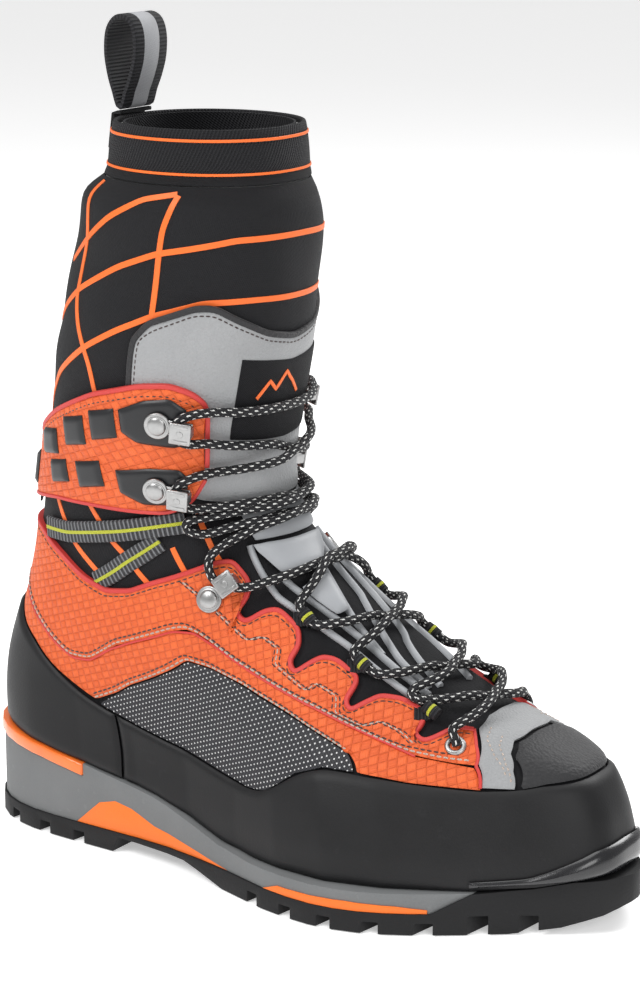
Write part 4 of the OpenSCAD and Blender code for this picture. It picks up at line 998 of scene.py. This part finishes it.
def hookModel():
    # Ring foot, neck, upright, plate with two ribs and a round mark
    s = hookSettings
    edge, middle, top = s["reach"], s["reach"] - s["plate"] / 2 + 0.3, s["tall"]
    parts = [(rod(s["foot"], s["sheet"] + 0.5, (0, 0, s["sheet"] / 2 + 0.25)), 0.5),
             (block((edge - 4, s["neck"], s["sheet"]), ((edge + 4) / 2 - 0.5, 0, s["sheet"] / 2)), 0.35),
             (block((1.3, 4.6, top), (edge - 0.6, 0, top / 2)), 0.5),
             (block((s["plate"], s["plate"], 1.3), (middle, 0, top - 0.5)), 0.55),
             (block((s["plate"] - 2.2, 1.2, 0.5), (middle, 3.2, top + 0.2)), 0.2),
             (block((s["plate"] - 2.2, 1.2, 0.5), (middle, -3.2, top + 0.2)), 0.2),
             (rod(1.5, 0.6, (middle, 0, top + 0.15), 28), 0.25)]
    return joinPieces("hookModel", [rounded(part, width) for part, width in parts])


def rivetModel():
    deselect()
    bpy.ops.mesh.primitive_uv_sphere_add(segments=36, ring_count=18, radius=0.0041, location=(0, 0, 0))
    dome = bpy.context.object
    edit(dome, lambda: bpy.ops.mesh.bisect(plane_co=(0, 0, 0.0001), plane_no=(0, 0, 1), clear_inner=True,
                                           use_fill=True))
    dome.scale = (1, 1, 0.4)
    dome.location = (0, 0, 0.0015)
    active(dome)
    bpy.ops.object.transform_apply(location=True, rotation=True, scale=True)
    ring = rounded(rod(4.6, 0.5, (0, 0, 1.6)), 0.2, 2)
    return joinPieces("rivetModel", [dome, ring])


def seated(model, name, t, z, d, tilt=0, mirrored=False):
    # Lays a copy of a flat model on the last: X towards the lacing, Z outwards
    n = outward(t, z)
    x = unit(np.cross([0, 0, 1], n))
    x = -x if mirrored else x
    y = np.cross(x, n) if mirrored else np.cross(n, x)
    c, s = math.cos(math.radians(tilt)), math.sin(math.radians(tilt))
    x, y = x * c + y * s, y * c - x * s
    origin = onLayer(t, z, d)
    copy = copied(model, name)
    flat = np.zeros(len(copy.data.vertices) * 3, np.float32)
    copy.data.vertices.foreach_get("co", flat)
    q = flat.reshape(-1, 3).astype(float)
    made = origin / 1000 + q[:, 0:1] * x + q[:, 1:2] * y + q[:, 2:3] * n
    copy.data.vertices.foreach_set("co", made.astype(np.float32).ravel())
    copy.data.update()
    if mirrored:
        edit(copy, bpy.ops.mesh.flip_normals)
    return copy


hookAt = {"instep": (113, 118, 40, 2.95), "lower": (113.5, 166, -6, 6.8), "upper": (115, 195, -6, 6.8)}
hook, rivet = hookModel(), rivetModel()
for group, body, nodes in ((("instep",), "foot", ("instep_hooks", "instep_rivets")),
                           (("lower", "upper"), "shaft", ("cuff_hooks", "cuff_rivets"))):
    hooks, rivets = [], []
    for key in group:
        t, z, tilt, d = hookAt[key]
        for mirrored in (False, True):
            a = 360 - t if mirrored else t
            hooks.append(seated(hook, "hook", a, z, d, tilt, mirrored))
            rivets.append(seated(rivet, "rivet", a, z, d, tilt, mirrored))
    place(joinPieces("laceHooks." + body, hooks), "metal", "steel", body, nodes[:1])
    place(joinPieces("hookRivets." + body, rivets), "metal", "steel", body, nodes[1:])
deselect()
bpy.ops.mesh.primitive_torus_add(major_segments=40, minor_segments=12, major_radius=0.0034, minor_radius=0.0011)
eyelet = bpy.context.object
eyelets = [seated(eyelet, "eyelet", a, 70, 3.0, 0, a > 180) for a in (144, 216)]
for model in (hook, rivet, eyelet):
    bpy.data.objects.remove(model)
place(joinPieces("toeEyeletRings", eyelets), "metal", "steel", "foot", ("toe_eyelets",))
print("hardware made")

# Lace: one line of (t, z, height) from a toe eyelet through loops and hooks, and back down the other side
laceSettings = {"radius": 1.95, "low": 5.6, "high": 9.6}
lo, hi = laceSettings["low"], laceSettings["high"]
loopAt = [(146, 80), (142.5, 95.5), (139, 112)]


def cross(z, dz, d): return [(180 + 9 * k, z + dz * k, d) for k in (-1, -0.5, 0, 0.5, 1)]


def strand(o, u):
    # One half of the lacing, from the lateral eyelet to the lateral ankle
    line = [(144.6, 70.2, 3.0), (146.5, 71.6, 5.6), (150, 74.6, 5.9)]
    line += cross(80.5, 2, o)
    line += [(209, 83.5, 5.3), (206, 86.6, 5.6)]
    line += cross(90, -2, u)[::-1]
    line += [(152, 91.6, 5.6), (148, 92.2, 5.3), (147.5, 98.4, 5.3), (151, 100.6, 5.6)]
    line += cross(107.5, 2, o)
    line += [(211, 109, 5.6), (215.6, 109, 5.3), (216, 115.5, 5.3), (212, 118.6, 5.6)]
    line += cross(128.5, -0.5, u)[::-1]
    line += [
        (150, 126.6, 6.0), (137, 124.4, 6.2), (129, 123, 6.6), (123.5, 123.4, 7.4), (120.5, 126, 7.4),
        (121.5, 130.5, 6.6), (126, 136, 6.0), (137, 142, 5.8), (154, 146.6, 5.8)]
    line += cross(149, 1, o)
    line += [
        (214, 148.6, 5.8), (233, 145.4, 5.2), (238.5, 147.5, 5.0), (236, 151.5, 5.2), (224, 154, 5.6),
        (208, 156, 5.8)]
    line += cross(158, -1, u)[::-1]
    line += [
        (150, 159, 6.0), (134, 158.6, 7.4), (127.5, 159.4, 9.6), (123.2, 162, 10.2), (122.2, 166, 10.2),
        (123.4, 169.6, 10.2), (128, 172.6, 9.6), (140, 174.6, 6.6)]
    line += cross(180.5, 3, o)
    line += [
        (212, 186, 6.4), (224, 188.4, 8.6), (232, 188.6, 9.8), (236.6, 191, 10.2), (237.6, 194.6, 10.2),
        (236.6, 198, 10.2), (232, 200.6, 9.6), (222, 201, 7.0), (208, 200, 5.8)]
    return line


def trimmed(line):
    # Drops points that nearly repeat the one before
    far = [abs(b[0] - a[0]) + abs(b[1] - a[1]) > 0.8 for a, b in zip(line, line[1:])]
    return [q for q, kept in zip(line, [True] + far) if kept]


def between(a, b, c, d, k):
    # A point on the smooth curve from b to c
    return 0.5 * (2 * b + (c - a) * k + (2 * a - 5 * b + 4 * c - d) * k * k + (3 * b - a - 3 * c + d) * k ** 3)


def splined(line, step=1.1):
    # A smooth curve through chart points, as dense chart points
    p = np.array(line, float)
    solid = onLayer(p[:, 0], p[:, 1], p[:, 2])
    rows = []
    for i in range(len(p) - 1):
        a, b, c, d = p[max(0, i - 1)], p[i], p[i + 1], p[min(len(p) - 1, i + 2)]
        n = max(2, int(round(np.linalg.norm(solid[i + 1] - solid[i]) / step)))
        rows += [between(a, b, c, d, k) for k in np.arange(n) / n]
    return np.array(rows + [p[-1]])


first = trimmed(strand(hi, lo))
second = trimmed([(360 - q[0], q[1], q[2]) for q in strand(lo, hi)])
whole = first + [(194, 199.8, 5.4), (180, 199.6, 5.3), (166, 199.8, 5.4)] + second[::-1]
rows = evened(splined(whole), 2.0, 1.1)
lace = sweep("lace", rows, roundProfile(laceSettings["radius"], 14), 0, 0.9, 0)
place(lace, "lace", "lace_cord", "ankle", ("lace_lower", "lace_crossing", "lace_upper"))

# Fabric loops that hold the lace: a round, its sewn tail and a yellow dash
loops, dashes = [], []
for t, z in loopAt:
    for a, out in ((t + 5, 1), (360 - t - 5, -1)):
        reach = 3.2 / float(np.linalg.norm(onLast(a, z + 0.5) - onLast(a, z - 0.5)))
        loops.append(sweep("loop", [(a, z - reach, 5.2), (a, z, 5.4), (a, z + reach, 5.2)],
                           roundProfile(2.75, 18), 0, 0.6, 0))
        tail = [(a - 5.5 * out, z, 2.0), (a - 1.5 * out, z, 3.0), (a, z, 4.2)]
        loops.append(sweep("tail", tail, flatProfile(6.2, 1.0, 0.5), 0, 0.8, 0.5))
        dash = [(a, z - reach * 0.2, 5.4), (a, z, 5.4), (a, z + reach * 0.2, 5.4)]
        dashes.append(sweep("dash", dash, roundProfile(2.86, 18), 0, 0.3, 0))
place(joinPieces("laceLoops", loops), "loopWeb", "webbing", "foot", ("lace_loops",))
place(joinPieces("laceLoopDashes", dashes), "yellow", "webbing", "foot")
print("lace made")

# Side tag, anchor and pull loop
tagSettings = {"size": (9, 5.4, 0.9), "bar": (6, 0.7, 0.12), "pitch": 1.3, "at": (22, 148, 2.1)}
tag = rounded(block(tagSettings["size"], (0, -0.6, 0)), 0.25, 2)
bars = [block(tagSettings["bar"], (0, 0.9 - tagSettings["pitch"] * k, 0.5)) for k in range(3)]
place(seated(tag, "sideTag", *tagSettings["at"]), "label", "webbing", "shaft", ("side_tag",))
prints = [seated(bar, "print", *tagSettings["at"]) for bar in bars]
place(joinPieces("tagPrint", prints), "tan", "webbing", "shaft")
for model in (tag, *bars):
    bpy.data.objects.remove(model)

hingeX, hingeZ = float(onLast(0, 314)[0]) + 0.2, 319.2
loopSettings = {"wide": 22, "thick": 1.8, "rise": 36.2, "stripe": (11, 1.4, 1.86),
                "shape": [(0, 0), (-2.4, 0.17), (-4.6, 0.36), (-6, 0.6), (-5.2, 0.84), (-2, 0.97), (2, 1),
                          (5.8, 0.94), (7.6, 0.78),
                          (7.2, 0.55), (5, 0.34), (2.4, 0.17)]}


def closedCurve(points, each):
    p, n = np.array(points, float), len(points)
    return np.array([between(p[i - 1], p[i], p[(i + 1) % n], p[(i + 2) % n], k)
                     for i in range(n) for k in np.arange(each) / each])


def strapLoop(name, wide, low, high):
    # A strap round the loop's outline, from low to high outside it
    line = closedCurve([(q[0], q[1] * loopSettings["rise"]) for q in loopSettings["shape"]], 6)
    line = np.vstack([line, line[:1]])
    way = np.gradient(line, axis=0)
    way[0] = way[-1] = line[1] - line[-2]
    out = unit(np.stack([-way[:, 1], way[:, 0]], -1))
    w = wide / 2
    shape = [(-w, low), (-w, high - 0.3), (-w + 0.4, high), (0, high), (w - 0.4, high), (w, high - 0.3),
             (w, low), (0, low)]
    shape = np.array(shape + shape[:1])
    x, z = [hinge + line[:, None, i] + out[:, None, i] * shape[None, :, 1] for i,
            hinge in enumerate((hingeX, hingeZ))]
    points = np.stack(np.broadcast_arrays(x, shape[None, :, 0], z), -1)
    uv = np.stack(np.broadcast_arrays(runLength(line)[:, None], shape[None, :, 0]), -1)
    piece = gridPiece(name, points, uv)
    edit(piece, mergeDoubles, outsideOut)
    return piece


place(strapLoop("pullLoop", loopSettings["wide"], 0.0, loopSettings["thick"]), "loopWeb", "webbing", "loop",
      ("pull_loop",))
place(strapLoop("pullLoopStripe", *loopSettings["stripe"]), "satin", "webbing", "loop")


def bevelCopy(name, node, finish, slotName, body, width):
    # A merged copy of a CAD node with softened edges
    piece = copied(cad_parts[node], name)
    piece.parent = None
    piece.modifiers.clear()
    for key in list(piece.keys()):
        del piece[key]
    edit(piece, mergeDoubles, lambda: bpy.ops.mesh.dissolve_limited(angle_limit=math.radians(1.5)))
    rounded(piece, width, 2, 30, use_clamp_overlap=True)
    if not piece.data.uv_layers:
        piece.data.uv_layers.new(name="UVMap")
    place(piece, finish, slotName, body, (node,), angle=34)


bevelCopy("loopAnchorFold", "loop_anchor", "loopWeb", "webbing", "shaft", 0.4)
print("pull loop made")

# Sole, and the three inside parts that keep their CAD shape
soleParts = [("treadSole", "outsole", "tread", "outsole_rubber", 0.7),
             ("midsoleFoam", "midsole", "foam", "midsole_foam", 0.8),
             ("archInsert", "arch_insert", "insert", "orange_insert", 0.6),
             ("forefootStrips", "forefoot_insert", "insert", "orange_insert", 0.4),
             ("heelWelt", "heel_welt", "welt", "welt_tpu", 0.9),
             ("heelPlug", "heel_plug", "lime", "lime_tpu", 0.6)]
for name, node, finish, slotName, width in soleParts:
    bevelCopy(name, node, finish, slotName, "foot", width)
for node, finish in (("shank", "nylon"), ("insole_board", "board"), ("footbed", "footbed")):
    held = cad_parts[node]
    if not held.data.uv_layers:
        held.data.uv_layers.new(name="UVMap")
    held.data.materials.clear()
    held.data.materials.append(finishes[finish])
print("sole made")

# Floor, lights and sky
floorMaterial = Finish("paleFloor")
floorMaterial.done((0.96, 0.96, 0.96), 0.8, **{"Emission Color": (1.0, 1.0, 1.0), "Emission Strength": 0.42})
deselect()
bpy.ops.mesh.primitive_plane_add(size=40, location=(0, 0, -0.0004))
floor = bpy.context.object
floor.name = "floor"
floor.data.materials.append(floorMaterial.material)
lights = [("key", (-0.55, -1.3, 1.5), 23, 0.8), ("front", (1.6, -1.0, 1.1), 14, 0.9),
          ("rim", (0.3, 1.4, 1.3), 18, 0.9),
          ("top", (0.0, 0.0, 2.0), 13, 1.2)]
for name, spot, power, size in lights:
    data = bpy.data.lights.new(name, "AREA")
    data.energy, data.size = power, size
    lamp = link(bpy.data.objects.new(name, data))
    lamp.location = spot
    lamp.rotation_mode = "QUATERNION"
    lamp.rotation_quaternion = (Vector(spot) - Vector((0, 0, 0.14))).to_track_quat("Z", "Y")
world = bpy.data.worlds.new("sky")
world.use_nodes = True
background = world.node_tree.nodes["Background"]
background.inputs[0].default_value, background.inputs[1].default_value = (1, 1, 1, 1), 0.42
bpy.context.scene.world = world
bpy.context.scene.view_settings.view_transform = "Standard"
print("stage made")

bpy.context.view_layer.update()
